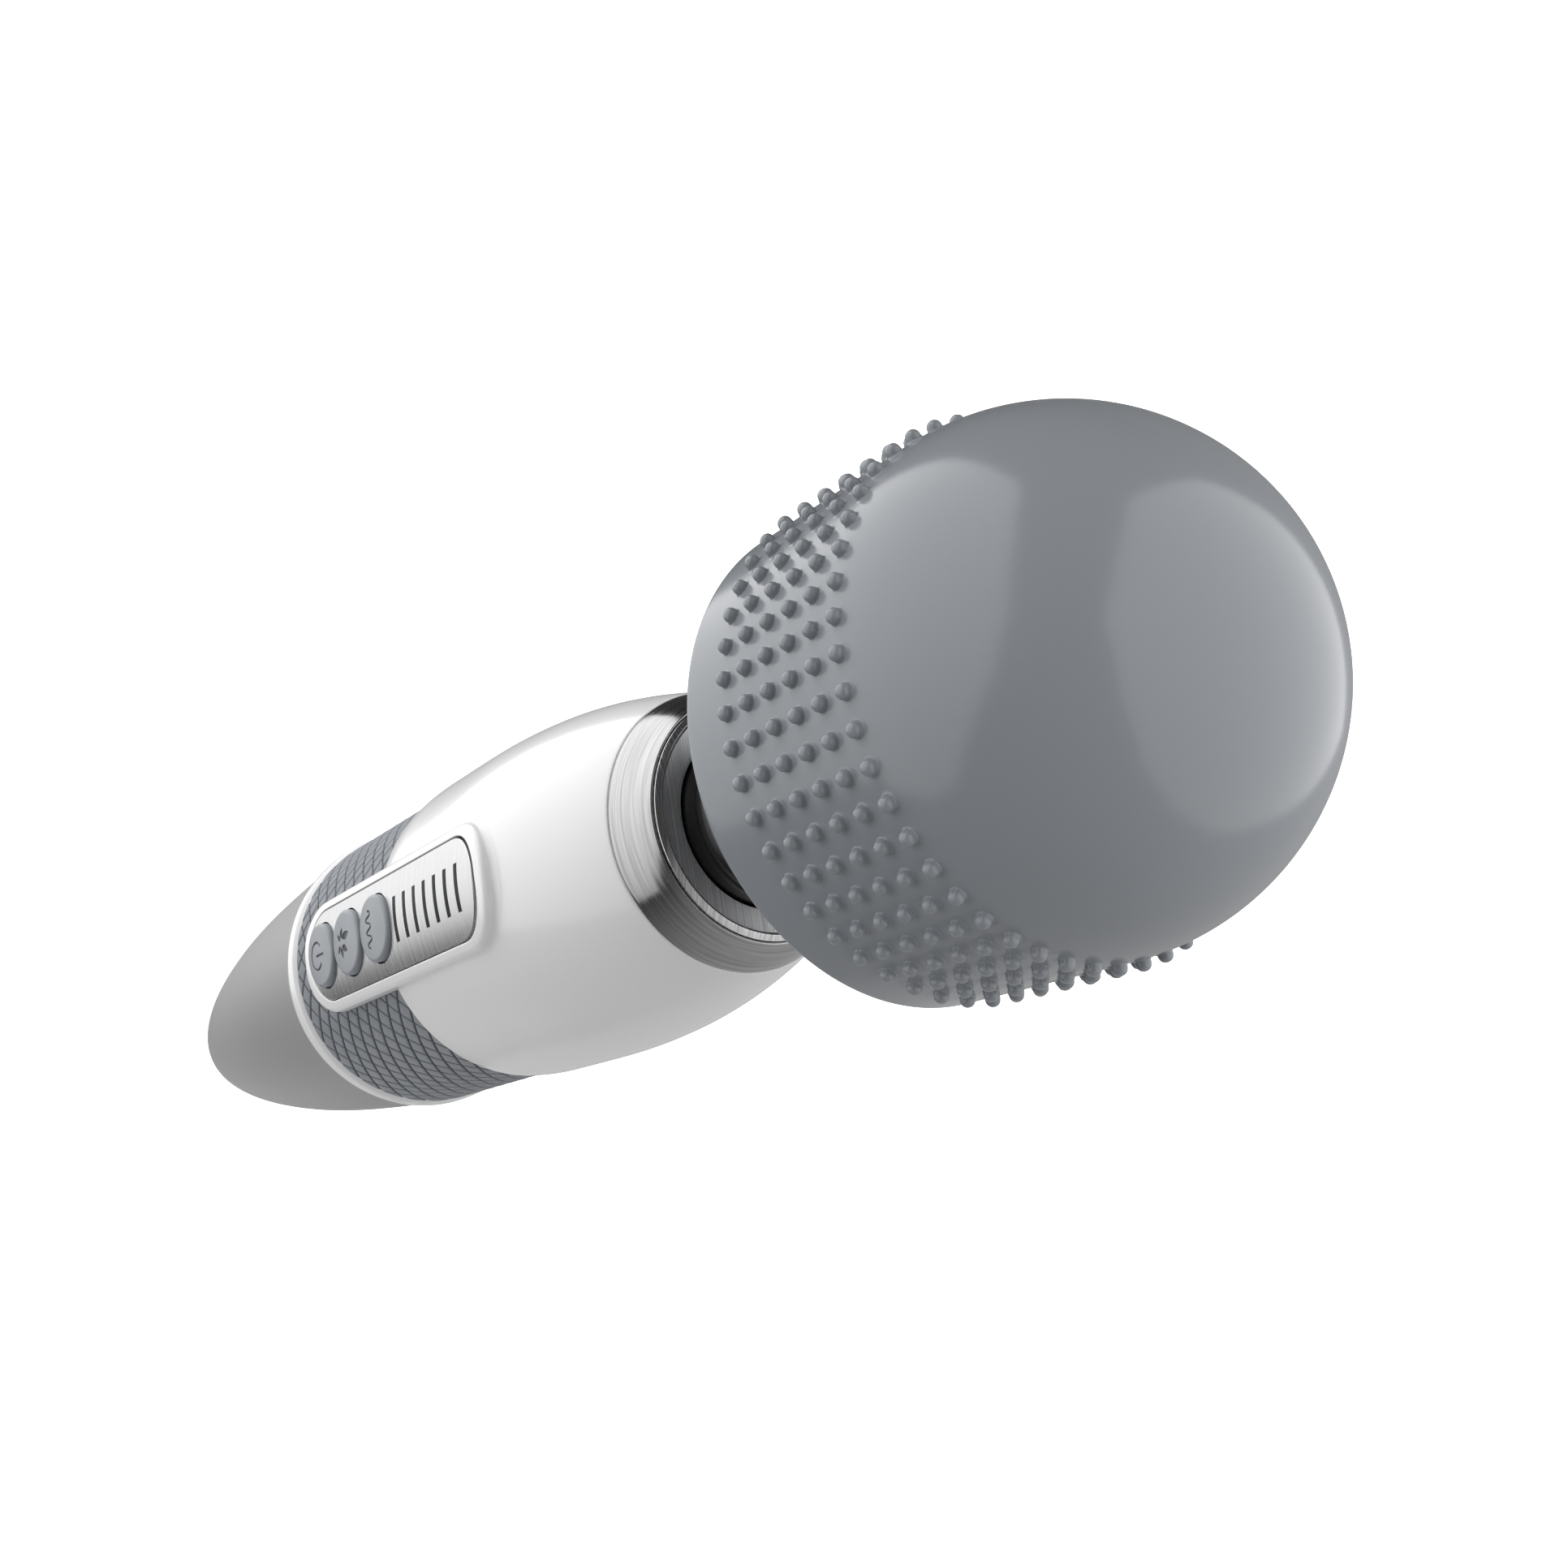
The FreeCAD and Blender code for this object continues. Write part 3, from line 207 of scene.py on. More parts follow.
# ------------------------------------------------------------------ materials
def material(name, color, rough, metallic=0.0, spec=0.5, coat=0.0, coat_rough=0.1, aniso=0.0, aniso_rot=0.0,
             ior=1.45, grain=None, bump=None, vary=0.04, vary_scale=35.0, rough_vary=0.05, sheen=0.0, streak=None,
             mark_and_groove_shade=None, tangent=False, seed=0.0, mottle=None):
    """principled material: colour varied by soft noise, roughness by another, with a fine bump"""
    m = bpy.data.materials.new(name)
    m.use_nodes = True
    nt = m.node_tree
    N, L = nt.nodes, nt.links
    b = N["Principled BSDF"]
    b.inputs["Metallic"].default_value = metallic
    b.inputs["Specular IOR Level"].default_value = spec
    b.inputs["IOR"].default_value = ior
    b.inputs["Coat Weight"].default_value = coat
    b.inputs["Coat Roughness"].default_value = coat_rough
    b.inputs["Anisotropic"].default_value = aniso
    b.inputs["Anisotropic Rotation"].default_value = aniso_rot
    b.inputs["Sheen Weight"].default_value = sheen
    tc = N.new("ShaderNodeTexCoord")
    base = tc.outputs["Object"]

    def noise(scale, detail, src=None, dist=0.0):
        n = N.new("ShaderNodeTexNoise")
        n.inputs["Scale"].default_value = scale
        n.inputs["Detail"].default_value = detail
        n.inputs["Distortion"].default_value = dist
        L.new(src or base, n.inputs["Vector"])
        return n.outputs["Fac"]

    def math_node(op, a, c, clamp=False):
        n = N.new("ShaderNodeMath")
        n.operation = op
        n.use_clamp = clamp
        for k, s in enumerate((a, c)):
            if isinstance(s, (int, float)):
                n.inputs[k].default_value = s
            elif s is not None:
                L.new(s, n.inputs[k])
        return n.outputs[0]

    def ramp(src, lo, hi, outlo, outhi):
        n = N.new("ShaderNodeMapRange")
        n.inputs["From Min"].default_value = lo
        n.inputs["From Max"].default_value = hi
        n.inputs["To Min"].default_value = outlo
        n.inputs["To Max"].default_value = outhi
        L.new(src, n.inputs["Value"])
        return n.outputs["Result"]

    lines = None
    if streak:
        # lines that run round the wand axis, or across the wand on the flat plate
        mode, scale, along = streak[:3]
        sx = N.new("ShaderNodeSeparateXYZ")
        L.new(base, sx.inputs[0])
        cb = N.new("ShaderNodeCombineXYZ")
        if mode == "round":
            yy = math_node("MULTIPLY", sx.outputs[1], sx.outputs[1])
            zz = math_node("MULTIPLY", sx.outputs[2], sx.outputs[2])
            r = math_node("SQRT", math_node("ADD", yy, zz), None)
            cy = math_node("DIVIDE", sx.outputs[1], r)
            cz = math_node("DIVIDE", sx.outputs[2], r)
            L.new(math_node("MULTIPLY", cy, along), cb.inputs[0])
            L.new(math_node("MULTIPLY", cz, along), cb.inputs[1])
            slope = streak[3] if len(streak) > 3 else 1.0
            q = math_node("ADD", sx.outputs[0], math_node("MULTIPLY", r, slope))
            L.new(math_node("MULTIPLY", q, scale), cb.inputs[2])
        else:
            k0, k1, k2 = (scale, along, along) if mode == "cross" else (along, along, scale)
            L.new(math_node("MULTIPLY", sx.outputs[0], k0), cb.inputs[0])
            L.new(math_node("MULTIPLY", sx.outputs[1], k1), cb.inputs[1])
            L.new(math_node("MULTIPLY", sx.outputs[2], k2), cb.inputs[2])
        lines = noise(1.0, 3.0, cb.outputs[0])
    col = N.new("ShaderNodeMix")
    col.data_type = "RGBA"
    lo = [c * (1 - vary) for c in color] + [1]
    hi = [min(1.0, c * (1 + vary)) for c in color] + [1]
    col.inputs["A"].default_value = lo
    col.inputs["B"].default_value = hi
    if lines is not None:
        L.new(ramp(lines, 0.3, 0.7, 0.0, 1.0), col.inputs["Factor"])
    else:
        L.new(ramp(noise(vary_scale, 3.0), 0.3, 0.7, 0.0, 1.0), col.inputs["Factor"])
    out = col.outputs["Result"]
    if mark_and_groove_shade:
        # a named vertex value darkens the buttons' engraved marks, and on the grip paints shade into the grooves
        at = N.new("ShaderNodeAttribute")
        at.attribute_name = "mark_and_groove_shade"
        mx = N.new("ShaderNodeMix")
        mx.data_type = "RGBA"
        mx.inputs["B"].default_value = list(mark_and_groove_shade) + [1]
        L.new(out, mx.inputs["A"])
        L.new(at.outputs["Fac"], mx.inputs["Factor"])
        out = mx.outputs["Result"]
    L.new(out, b.inputs["Base Color"])
    if lines is not None:
        L.new(ramp(lines, 0.3, 0.7, max(0.02, rough - rough_vary), rough + rough_vary), b.inputs["Roughness"])
    else:
        L.new(ramp(noise(vary_scale * 2.3, 4.0), 0.3, 0.7, max(0.02, rough - rough_vary), rough + rough_vary),
              b.inputs["Roughness"])
    if bump or (lines is not None and streak):
        bp = N.new("ShaderNodeBump")
        if lines is not None:
            bp.inputs["Strength"].default_value = bump[1] if bump else 0.15
            bp.inputs["Distance"].default_value = bump[2] if bump else 0.00002
            L.new(lines, bp.inputs["Height"])
        else:
            bp.inputs["Strength"].default_value = bump[1]
            bp.inputs["Distance"].default_value = bump[2]
            L.new(noise(bump[0], 5.0), bp.inputs["Height"])
        L.new(bp.outputs[0], b.inputs["Normal"])
    if tangent:
        tg = N.new("ShaderNodeTangent")
        tg.direction_type = "RADIAL"
        tg.axis = "X"
        L.new(tg.outputs[0], b.inputs["Tangent"])
    return m


def grey(v, warm=0.0):
    """linear colour from an sRGB grey level, warm > 0 adds red and takes blue"""
    f = lambda s: ((s / 255 + 0.055) / 1.055) ** 2.4 if s > 10 else s / 255 / 12.92
    return (f(v + warm), f(v), f(v - warm))


M = {
    "head_silicone": material("head_silicone", (0.222, 0.236, 0.254), 0.17, spec=0.5, vary=0.012, vary_scale=14,
                              rough_vary=0.02, bump=(900, 0.05, 0.00002)),
    "shell_plastic": material("shell_plastic", (0.05, 0.052, 0.055), 0.45, bump=(700, 0.2, 0.00005)),
    "screw_steel": material("screw_steel", (0.5, 0.5, 0.51), 0.3, metallic=1, bump=(1500, 0.1, 0.00002)),
    "motor_steel": material("motor_steel", (0.42, 0.43, 0.44), 0.32, metallic=1, bump=(600, 0.1, 0.00003)),
    "bronze": material("bronze", (0.55, 0.36, 0.17), 0.35, metallic=1, bump=(900, 0.1, 0.00003)),
    "weight_metal": material("weight_metal", (0.5, 0.42, 0.25), 0.38, metallic=1, bump=(500, 0.2, 0.00005)),
    "neck_rubber": material("neck_rubber", (0.010, 0.010, 0.011), 0.34, spec=0.5, vary=0.1, bump=(1200, 0.12, 0.00003)),
    "collar_steel": material("collar_steel", (0.36, 0.36, 0.364), 0.20, metallic=1, aniso=0.8, aniso_rot=0.25, tangent=True,
                             vary=0.22, rough_vary=0.05, streak=("round", 5200.0, 1.3), bump=(0, 0.35, 0.00003)),
    "ring_steel": material("ring_steel", (0.82, 0.82, 0.82), 0.12, metallic=1, vary=0.22, rough_vary=0.04,
                           streak=("down", 4200.0, 30.0), bump=(0, 0.08, 0.00001)),
    "dark_steel": material("dark_steel", (0.82, 0.82, 0.85), 0.34, metallic=0.75, vary=0.24, rough_vary=0.05,
                           streak=("down", 6800.0, 12.0), bump=(0, 0.10, 0.00001)),
    "white_gloss": material("white_gloss", (0.75, 0.75, 0.755), 0.22, spec=0.5, coat=0.3, coat_rough=0.08, vary=0.008,
                            vary_scale=10, rough_vary=0.03, bump=(500, 0.03, 0.00002)),
    # grip rubber: the dark colour given last is painted shade for its engraved grooves
    "grip_rubber": material("grip_rubber", (0.225, 0.237, 0.255), 0.55, spec=0.12, vary=0.05, vary_scale=300,
                            bump=(2200, 0.15, 0.00003), mark_and_groove_shade=(0.022, 0.024, 0.028)),
    "tail_silver": material("tail_silver", (0.315, 0.315, 0.315), 0.42, metallic=0.20, spec=0.3, vary=0.015, vary_scale=12,
                            rough_vary=0.03, bump=(2600, 0.06, 0.00002)),
    "plate_steel": material("plate_steel", (0.50, 0.50, 0.505), 0.26, metallic=1.0, aniso=0.7, aniso_rot=0.25, tangent=True, vary=0.10,
                            rough_vary=0.03, streak=("cross", 2600.0, 4.0), bump=(0, 0.04, 0.00001)),
    "button_rubber": material("button_rubber", (0.25, 0.265, 0.285), 0.34, spec=0.5, vary=0.02, vary_scale=120,
                              bump=(1500, 0.08, 0.00002), mark_and_groove_shade=(0.02, 0.021, 0.024)),
    "light_lens": material("light_lens", (0.008, 0.009, 0.010), 0.45, spec=0.15, bump=(900, 0.05, 0.00001)),
    "board_green": material("board_green", (0.012, 0.10, 0.035), 0.4, vary=0.2, vary_scale=400, bump=(900, 0.2, 0.00003)),
    "part_black": material("part_black", (0.012, 0.012, 0.013), 0.4, bump=(900, 0.2, 0.00003)),
    "led_white": material("led_white", (0.75, 0.74, 0.66), 0.3, bump=(900, 0.1, 0.00002)),
    "cell_wrap": material("cell_wrap", (0.35, 0.38, 0.42), 0.35, metallic=0.6, bump=(300, 0.1, 0.00003)),
}


# every carried-over CAD node takes its slot's material
SLOTS = {}
for key, names in (
        ("shell_plastic", ("head_shell_rear", "head_shell_front", "motor_mount_rear", "motor_mount_front", "neck_housing",
                           "chassis_frame", "battery_cradle")),
        ("screw_steel", ("head_screws", "board_screws", "neck_pins")),
        ("motor_steel", ("motor_can", "motor_end_cap", "motor_shaft", "rotor_core")),
        ("bronze", ("motor_bushes", "battery_tabs", "charge_leads")), ("weight_metal", ("eccentric_weight",)),
        ("neck_rubber", ("tail_seal", "port_gasket", "button_mat")), ("light_lens", ("light_guide",)),
        ("board_green", ("control_board", "charge_board")), ("led_white", ("indicator_leds",)),
        ("cell_wrap", ("battery_cells",)), ("part_black", ("charging_jack", "tact_switches", "motor_magnets"))):
    for n in names:
        SLOTS[n] = key
for n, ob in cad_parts.items():
    key = SLOTS.get(n, "part_black")
    ob.data.materials.clear()
    ob.data.materials.append(M.get(key, M["part_black"]))


# ------------------------------------------------------------------ massage head, one soft skin
NROW, NCOL, SUB = 6, 50, 8
PITCH = 3.825
N0 = 241.80 - PITCH / 2
N1 = N0 + NROW * PITCH


def head_r(x):
    x = np.asarray(x, float)
    u = np.clip((x - DC) / DL, 0, 1)
    return np.where(x <= DC, HR, HR * np.sqrt(np.clip(1 - u * u, 0, 1)))


def dome(n, d=0.0, start=0.0):
    t = np.linspace(start, math.pi / 2, n)
    return np.stack([DC + (DL - d) * np.sin(t), (HR - d) * np.cos(t)], 1)


def head_skin():
    cols = NCOL * SUB
    ang = math.pi / 2 + np.arange(cols) * 2 * math.pi / cols
    sh = np.concatenate([spline(SHOULDER, 70, end=(0.802, 0.597)), np.array(RIM)])
    shi = offset(SHOULDER, 2.0)
    shi = shi[(shi[:, 1] > 14.0)]
    inner = [(x, r) for x, r in dome(26, 2.0)[::-1]] + [(250.0, HR - 2.0), (236.0, HR - 2.0)]
    inner += [(x, r) for x, r in shi[::-1][1:]]
    lip_in = [(220.30, 14.0), (220.22, 13.35), (219.9, 13.05), (219.3, 12.98), (218.75, 12.99)]
    lip_out = [(218.42, 13.05), (218.25, 13.25), (218.235, 13.6)]
    outer = [(x, r) for x, r in sh if r > 13.9]
    band = np.linspace(234.28, N0, 11)[1:]
    prof1 = inner + lip_in + lip_out + outer + [(x, HR) for x in band]
    v1, q1 = grid(prof1, ang)
    last = (len(prof1) - 1) * cols
    verts = [v1]
    quads = [q1]
    count = len(v1)
    # band of nubs: only cell edges carry grid vertices
    rows = NROW * SUB
    vid = -np.ones((rows + 1, cols), np.int64)
    vid[0] = last + np.arange(cols)
    st = N0 + np.arange(rows + 1) * PITCH / SUB
    extra = []
    for i in range(1, rows + 1):
        js = np.arange(cols) if i % SUB == 0 else np.arange(0, cols, SUB)
        r = float(head_r(st[i]))
        a = ang[js]
        vid[i, js] = count + np.arange(len(js))
        extra.append(np.stack([np.full(len(js), st[i] + TAIL), r * np.cos(a), r * np.sin(a)], 1))
        count += len(js)
    verts.append(np.concatenate(extra))
    half = SUB // 2
    loop = ([(0, j) for j in range(0, SUB)] + [(i, SUB) for i in range(0, SUB)] +
            [(SUB, j) for j in range(SUB, 0, -1)] + [(i, 0) for i in range(SUB, 0, -1)])
    li = np.array([p[0] for p in loop])
    lj = np.array([p[1] for p in loop])
    cw = 2 * math.pi / NCOL * HR
    psi = np.arctan2((li - half) / SUB * PITCH, (lj - half) / SUB * cw)
    reach = np.hypot((li - half) / SUB * PITCH, (lj - half) / SUB * cw)
    n = len(loop)
    prof = [(0.86, 0.0), (1.40, 0.0), (1.09, 0.0), (1.005, 0.012), (0.945, 0.05), (0.905, 0.12), (0.885, 0.23),
            (0.87, 0.38), (0.845, 0.56), (0.795, 0.74), (0.71, 0.90), (0.60, 1.03), (0.46, 1.13), (0.31, 1.20),
            (0.16, 1.245)]
    tris = []
    for R in range(NROW):
        xc = N0 + (R + 0.5) * PITCH
        for C in range(NCOL):
            ac = math.pi / 2 + (C + 0.5) * 2 * math.pi / NCOL
            prev = vid[R * SUB + li, (C * SUB + lj) % cols]
            for k, (rho, h) in enumerate(prof):
                rr = rho if k else np.minimum(reach * 0.86, 1.72)
                x = xc + rr * np.sin(psi)
                a = ac + rr * np.cos(psi) / HR
                rad = head_r(x) + h
                p = np.stack([x + TAIL, rad * np.cos(a), rad * np.sin(a)], 1)
                ids = count + np.arange(n)
                verts.append(p)
                count += n
                nx = np.roll(np.arange(n), -1)
                quads.append(np.stack([prev, prev[nx], ids[nx], ids], 1))
                prev = ids
            rad = float(head_r(xc)) + 1.25
            verts.append(np.array([[xc + TAIL, rad * math.cos(ac), rad * math.sin(ac)]]))
            nx = np.roll(np.arange(n), -1)
            tris.append(np.stack([prev, prev[nx], np.full(n, count)], 1))
            count += 1
    # dome beyond the band
    t0 = math.asin((N1 - DC) / DL)
    d = dome(90, 0.0, t0)[1:]
    v2, q2 = grid(d, ang)
    verts.append(v2)
    j = np.arange(cols)
    j2 = (j + 1) % cols
    top = vid[rows]
    quads.append(np.stack([top[j], top[j2], count + j2, count + j], 1))
    quads.append(q2 + count)
    return weld(mesh_from("head_skin", np.concatenate(verts), np.concatenate(quads), np.concatenate(tris)))


piece("head_skin", head_skin(), "head", M["head_silicone"], ("head_cover",), sharp=0)


# ------------------------------------------------------------------ flexible neck, two ribbed sleeves
def bellows(x0, x1, folds, base, depth, n=64):
    x = np.linspace(x0, x1, n)
    return x, base - depth * 0.5 * (1 - np.cos(2 * math.pi * folds * (x - x0) / (x1 - x0)))


def sleeve(name, x0, x1, folds, depth, flare0, flare1):
    x, r = bellows(x0, x1, folds, 12.05, depth)
    outer = [(a, b + flare0 * math.exp(-(a - x0) / 0.5) + flare1 * math.exp(-(x1 - a) / 0.6)) for a, b in zip(x, r)]
    inner = [(a, 9.6) for a in np.linspace(x1, x0, 24)]
    return lathe(name, outer + inner, 192)


MID = 212.25
lower = piece("neck_sleeve_lower", sleeve("neck_sleeve_lower", 204.4, MID, 2, 0.35, 0.0, 0.0), None,
              M["neck_rubber"], ("neck_root",), sharp=0)
upper = piece("neck_sleeve_upper", sleeve("neck_sleeve_upper", MID, 224.4, 3, 0.35, 0.0, 0.0), None,
              M["neck_rubber"], ("neck_link", "neck_stem", "neck_pins"), sharp=0)
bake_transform(lower)
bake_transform(upper)

# ------------------------------------------------------------------ collar, all turned
collar = rounded([(198.56, 16.9, 0.0), (198.56, 19.86, 0.18), (200.3, 19.35, 0), (202.6, 18.45, 0), (204.0, 17.74, 0),
                  (204.92, 17.16, 0.22), (204.92, 16.9, 0.1)], 5)
piece("collar_band", lathe("collar_band", refine(collar, 0.35), 320), "handle", M["collar_steel"],
      ("steel_collar",), sharp=38)
ring = rounded([(198.7, 14.5), (198.7, 16.3, 0.05), (203.95, 16.3, 0), (204.15, 16.83, 0), (205.32, 16.83, 0.05),
                (205.87, 16.14, 0.05), (205.87, 15.98, 0.05), (205.62, 15.72, 0.05), (204.0, 15.70), (204.0, 14.5)], 4)
piece("chamfer_band", lathe("chamfer_band", refine(ring, 0.5), 320), "handle", M["ring_steel"],
      ("chamfer_ring",), sharp=30)
face = rounded([(204.06, 12.42), (204.06, 15.66), (204.70, 15.66, 0.04), (204.70, 12.42, 0.12)], 4)
piece("neck_face", lathe("neck_face", refine(face, 0.4), 256), "handle", M["dark_steel"],
      ("neck_face_plate",), sharp=30)
gask = rounded([(198.7, 16.33), (203.7, 16.33, 0.08), (203.7, 16.87, 0.08), (198.7, 16.87)], 3)
piece("collar_seal", lathe("collar_seal", refine(gask, 0.6), 192), "handle", M["neck_rubber"],
      ("collar_gasket",), sharp=30)


# ------------------------------------------------------------------ handle shells with a window under the panel
def windowed(name, outer, inner, seg, x_lo, x_hi, half_cols, mark_and_groove_shade=None):
    """shell between two profiles of equal length, open in a window round +Z from x_lo to x_hi"""
    outer = np.asarray(outer, float)
    inner = np.asarray(inner, float)
    n = len(outer)
    a = math.pi / 2 + np.arange(seg) * 2 * math.pi / seg
    vo, qo = grid(outer, a)
    vi, qi = grid(inner, a)
    mid = (outer[:-1, 0] + outer[1:, 0]) / 2
    rows = np.repeat(np.arange(n - 1), seg)
    cols = np.tile(np.arange(seg), n - 1)
    hc = np.array([half_cols(v) if callable(half_cols) else half_cols for v in mid])[rows]
    gone = (mid[rows] > x_lo) & (mid[rows] < x_hi) & ((cols < hc) | (cols >= seg - hc))
    keep = ~gone
    m = n * seg
    quads = [qo[keep], qi[keep][:, ::-1] + m]
    solid = keep.reshape(n - 1, seg)
    # walls: front and rear rims, and round the window
    j = np.arange(seg)
    j2 = (j + 1) % seg
    for row, sgn in ((0, 1), (n - 1, -1)):
        nb = 0 if sgn > 0 else n - 2
        ok = solid[nb]
        a0, a1 = row * seg + j[ok], row * seg + j2[ok]
        f = np.stack([a1, a0, a0 + m, a1 + m], 1)
        quads.append(f if sgn > 0 else f[:, ::-1])
    for i in range(1, n - 1):
        up, dn = solid[i], solid[i - 1]
        for ok, sgn in ((up & ~dn, 1), (dn & ~up, -1)):
            if ok.any():
                a0, a1 = i * seg + j[ok], i * seg + j2[ok]
                f = np.stack([a1, a0, a0 + m, a1 + m], 1)
                quads.append(f if sgn > 0 else f[:, ::-1])
    left = np.roll(solid, 1, axis=1)
    for ok, sgn in ((solid & ~left, 1), (left & ~solid, -1)):
        ii, jj = np.nonzero(ok)
        if len(ii):
            a0, a1 = ii * seg + jj, (ii + 1) * seg + jj
            f = np.stack([a0, a1, a1 + m, a0 + m], 1)
            quads.append(f if sgn > 0 else f[:, ::-1])
    me = mesh_from(name, np.concatenate([vo, vi]), np.concatenate(quads))
    if mark_and_groove_shade is not None:
        at = me.attributes.new("mark_and_groove_shade", "FLOAT", "POINT")
        at.data.foreach_set("value", np.concatenate([mark_and_groove_shade, np.zeros(m)]).astype(np.float32))
    bm = bmesh.new()
    bm.from_mesh(me)
    loose = [v for v in bm.verts if not v.link_faces]
    bmesh.ops.delete(bm, geom=loose, context="VERTS")
    bm.to_mesh(me)
    bm.free()
    return me


AE, AL, AH = 156.55, 49.6, 10.45


BODYD = spline(BODYC, 600)


def body_r(x):
    """outer radius of the handle: the grip's cylinder, then the white body's swell"""
    x = np.asarray(x, float)
    return np.where(x < 137.02, BR, np.interp(x, BODYD[:, 0], BODYD[:, 1]))


def hollow_r(x, d):
    u = np.clip((np.asarray(x, float) - AE) / (AL - d), 0, 1)
    return np.where(x <= AE, BR - d, BR - AH + (AH - d) * np.sqrt(1 - u * u))


bx = np.concatenate([[137.03, 137.06, 137.14, 137.25], np.linspace(137.4, 156.5, 44), np.linspace(157.0, 198.3, 96), [198.42, 198.48]])
bo = body_r(bx)
bo[:4] = 25.27 + np.array([-0.30, -0.17, -0.06, -0.01])
bo[-3:] += np.array([-0.01, -0.06, -0.16])
bi = np.minimum(hollow_r(np.minimum(bx, 196.0), 2.4), BR - 2.4)
bi = np.where(bx > 196.4, 15.2, bi)
piece("body_shell", windowed("body_shell", np.stack([bx, bo], 1), np.stack([bx, bi], 1), 400, 137.0, 172.4, 18),
      "handle", M["white_gloss"], ("front_barrel",), sharp=35)

# grip sleeve with its diamond engraving
GS = 840
gx = np.concatenate([[99.87, 99.90, 99.98, 100.1], np.arange(100.2666, 136.8, 1 / 6.0), [136.85, 136.93, 137.0]])
ga = math.pi / 2 + np.arange(GS) * 2 * math.pi / GS
S_, T_ = np.meshgrid(np.arange(GS) * 35.0 / GS, (gx - 100.0) / 4.0)
d1 = np.abs((S_ + T_) - np.round(S_ + T_)) / 0.3361
d2 = np.abs((S_ - T_) - np.round(S_ - T_)) / 0.3361
dd = np.minimum(d1, d2)
groove = 1 - np.clip(dd / 0.30, 0, 1)
groove = groove * groove * (3 - 2 * groove)
edge = np.clip((gx - 99.87) / 0.25, 0, 1) * np.clip((137.02 - gx) / 0.25, 0, 1)
pillow = 0.05 * np.clip(dd / 1.4, 0, 1)
go = BR - 0.06 - 0.30 * groove * edge[:, None] + pillow - 0.18 * (1 - edge[:, None])
# painted shade: the grip's grooves darkened by their depth, standing in for the shade inside them
mark_and_groove_shade = np.clip(groove * 1.15 * edge[:, None], 0, 1)
gprof = np.stack([gx, np.full(len(gx), BR)], 1)
gin = np.stack([gx, np.full(len(gx), 23.32)], 1)


def grip_gap(x):
    """columns cut away on each side of +Z, kept under the panel frame's rounded rear"""
    u = max(0.0, 7.4 - (x - 0.1 - 108.40))
    w = 9.35 - 7.4 + math.sqrt(max(0.0, 7.4 ** 2 - u * u))
    return min(41, int((w - 1.0) / (2 * math.pi * BR / GS)))


gm = windowed("grip_sleeve_knurled", gprof, gin, GS, 110.0, 138.0, grip_gap, mark_and_groove_shade=mark_and_groove_shade.ravel())
co = np.zeros(len(gm.vertices) * 3)
gm.vertices.foreach_get("co", co)
co = co.reshape(-1, 3) / MM
rr = np.hypot(co[:, 1], co[:, 2])
aa = np.arctan2(co[:, 2], co[:, 1])
outer_v = rr > 24.0
ci = np.round(((aa - math.pi / 2) % (2 * math.pi)) / (2 * math.pi) * GS).astype(int) % GS
ri = np.searchsorted(gx, co[:, 0] - TAIL - 1e-4)
ri = np.clip(ri, 0, len(gx) - 1)
newr = go[ri, ci]
sc = np.where(outer_v, newr / rr, 1.0)
co[:, 1] *= sc
co[:, 2] *= sc
gm.vertices.foreach_set("co", (co * MM).ravel())
gm.update()
piece("grip_knurled", gm, "handle", M["grip_rubber"], ("grip_sleeve",), sharp=60)

tr = rounded([(96.03, 22.66), (96.03, 25.05, 0.45), (97.2, 25.30, 1.2), (99.0, 25.22, 0.6), (99.72, 24.5, 0.35), (99.80, 22.66)], 6)
piece("trim_band", lathe("trim_band", refine(tr, 0.6), 320), "handle", M["white_gloss"], ("trim_ring",), sharp=40)

tc = spline(TAILC, 150)
tco = [(0.0, 3.05), (0.0, 3.3)] + [(0.0, 3.7)] + [tuple(p) for p in tc[1:]]
tco[-1] = (95.9, 24.6)
tci = offset(TAILC, 2.0)[3:-1]
seat = [(95.95, 24.45), (95.95, 22.7), (89.05, 22.7), (89.05, 22.2)]
tcin = [tuple(p) for p in spline([(2.0, 3.05)] + [tuple(p) for p in tci], 60)[::-1]][1:]
piece("tail_cap_shell", lathe("tail_cap_shell", tco + seat + tcin, 320), "handle", M["tail_silver"],
      ("tail_cap",), sharp=30)


# ------------------------------------------------------------------ control panel
def rrect(x0, x1, half, rr_, rf, na=16, ns=24, nl=90):
    """rounded rectangle, points with even spacing on each side, counter-clockwise seen from +Z"""
    pts = []

    def arc(cx, cy, r, a0, a1):
        for k in range(na):
            t = a0 + (a1 - a0) * k / na
            pts.append((cx + r * math.cos(t), cy + r * math.sin(t)))

    def side(a, b, n):
        for k in range(n):
            pts.append((a[0] + (b[0] - a[0]) * k / n, a[1] + (b[1] - a[1]) * k / n))
    p = math.pi
    arc(x1 - rf, half - rf, rf, 0, p / 2)
    side((x1 - rf, half), (x0 + rr_, half), nl)
    arc(x0 + rr_, half - rr_, rr_, p / 2, p)
    side((x0, half - rr_), (x0, -half + rr_), ns)
    arc(x0 + rr_, -half + rr_, rr_, p, 1.5 * p)
    side((x0 + rr_, -half), (x1 - rf, -half), nl)
    arc(x1 - rf, -half + rf, rf, 1.5 * p, 2 * p)
    side((x1, -half + rf), (x1, half - rf), ns)
    return np.array(pts)


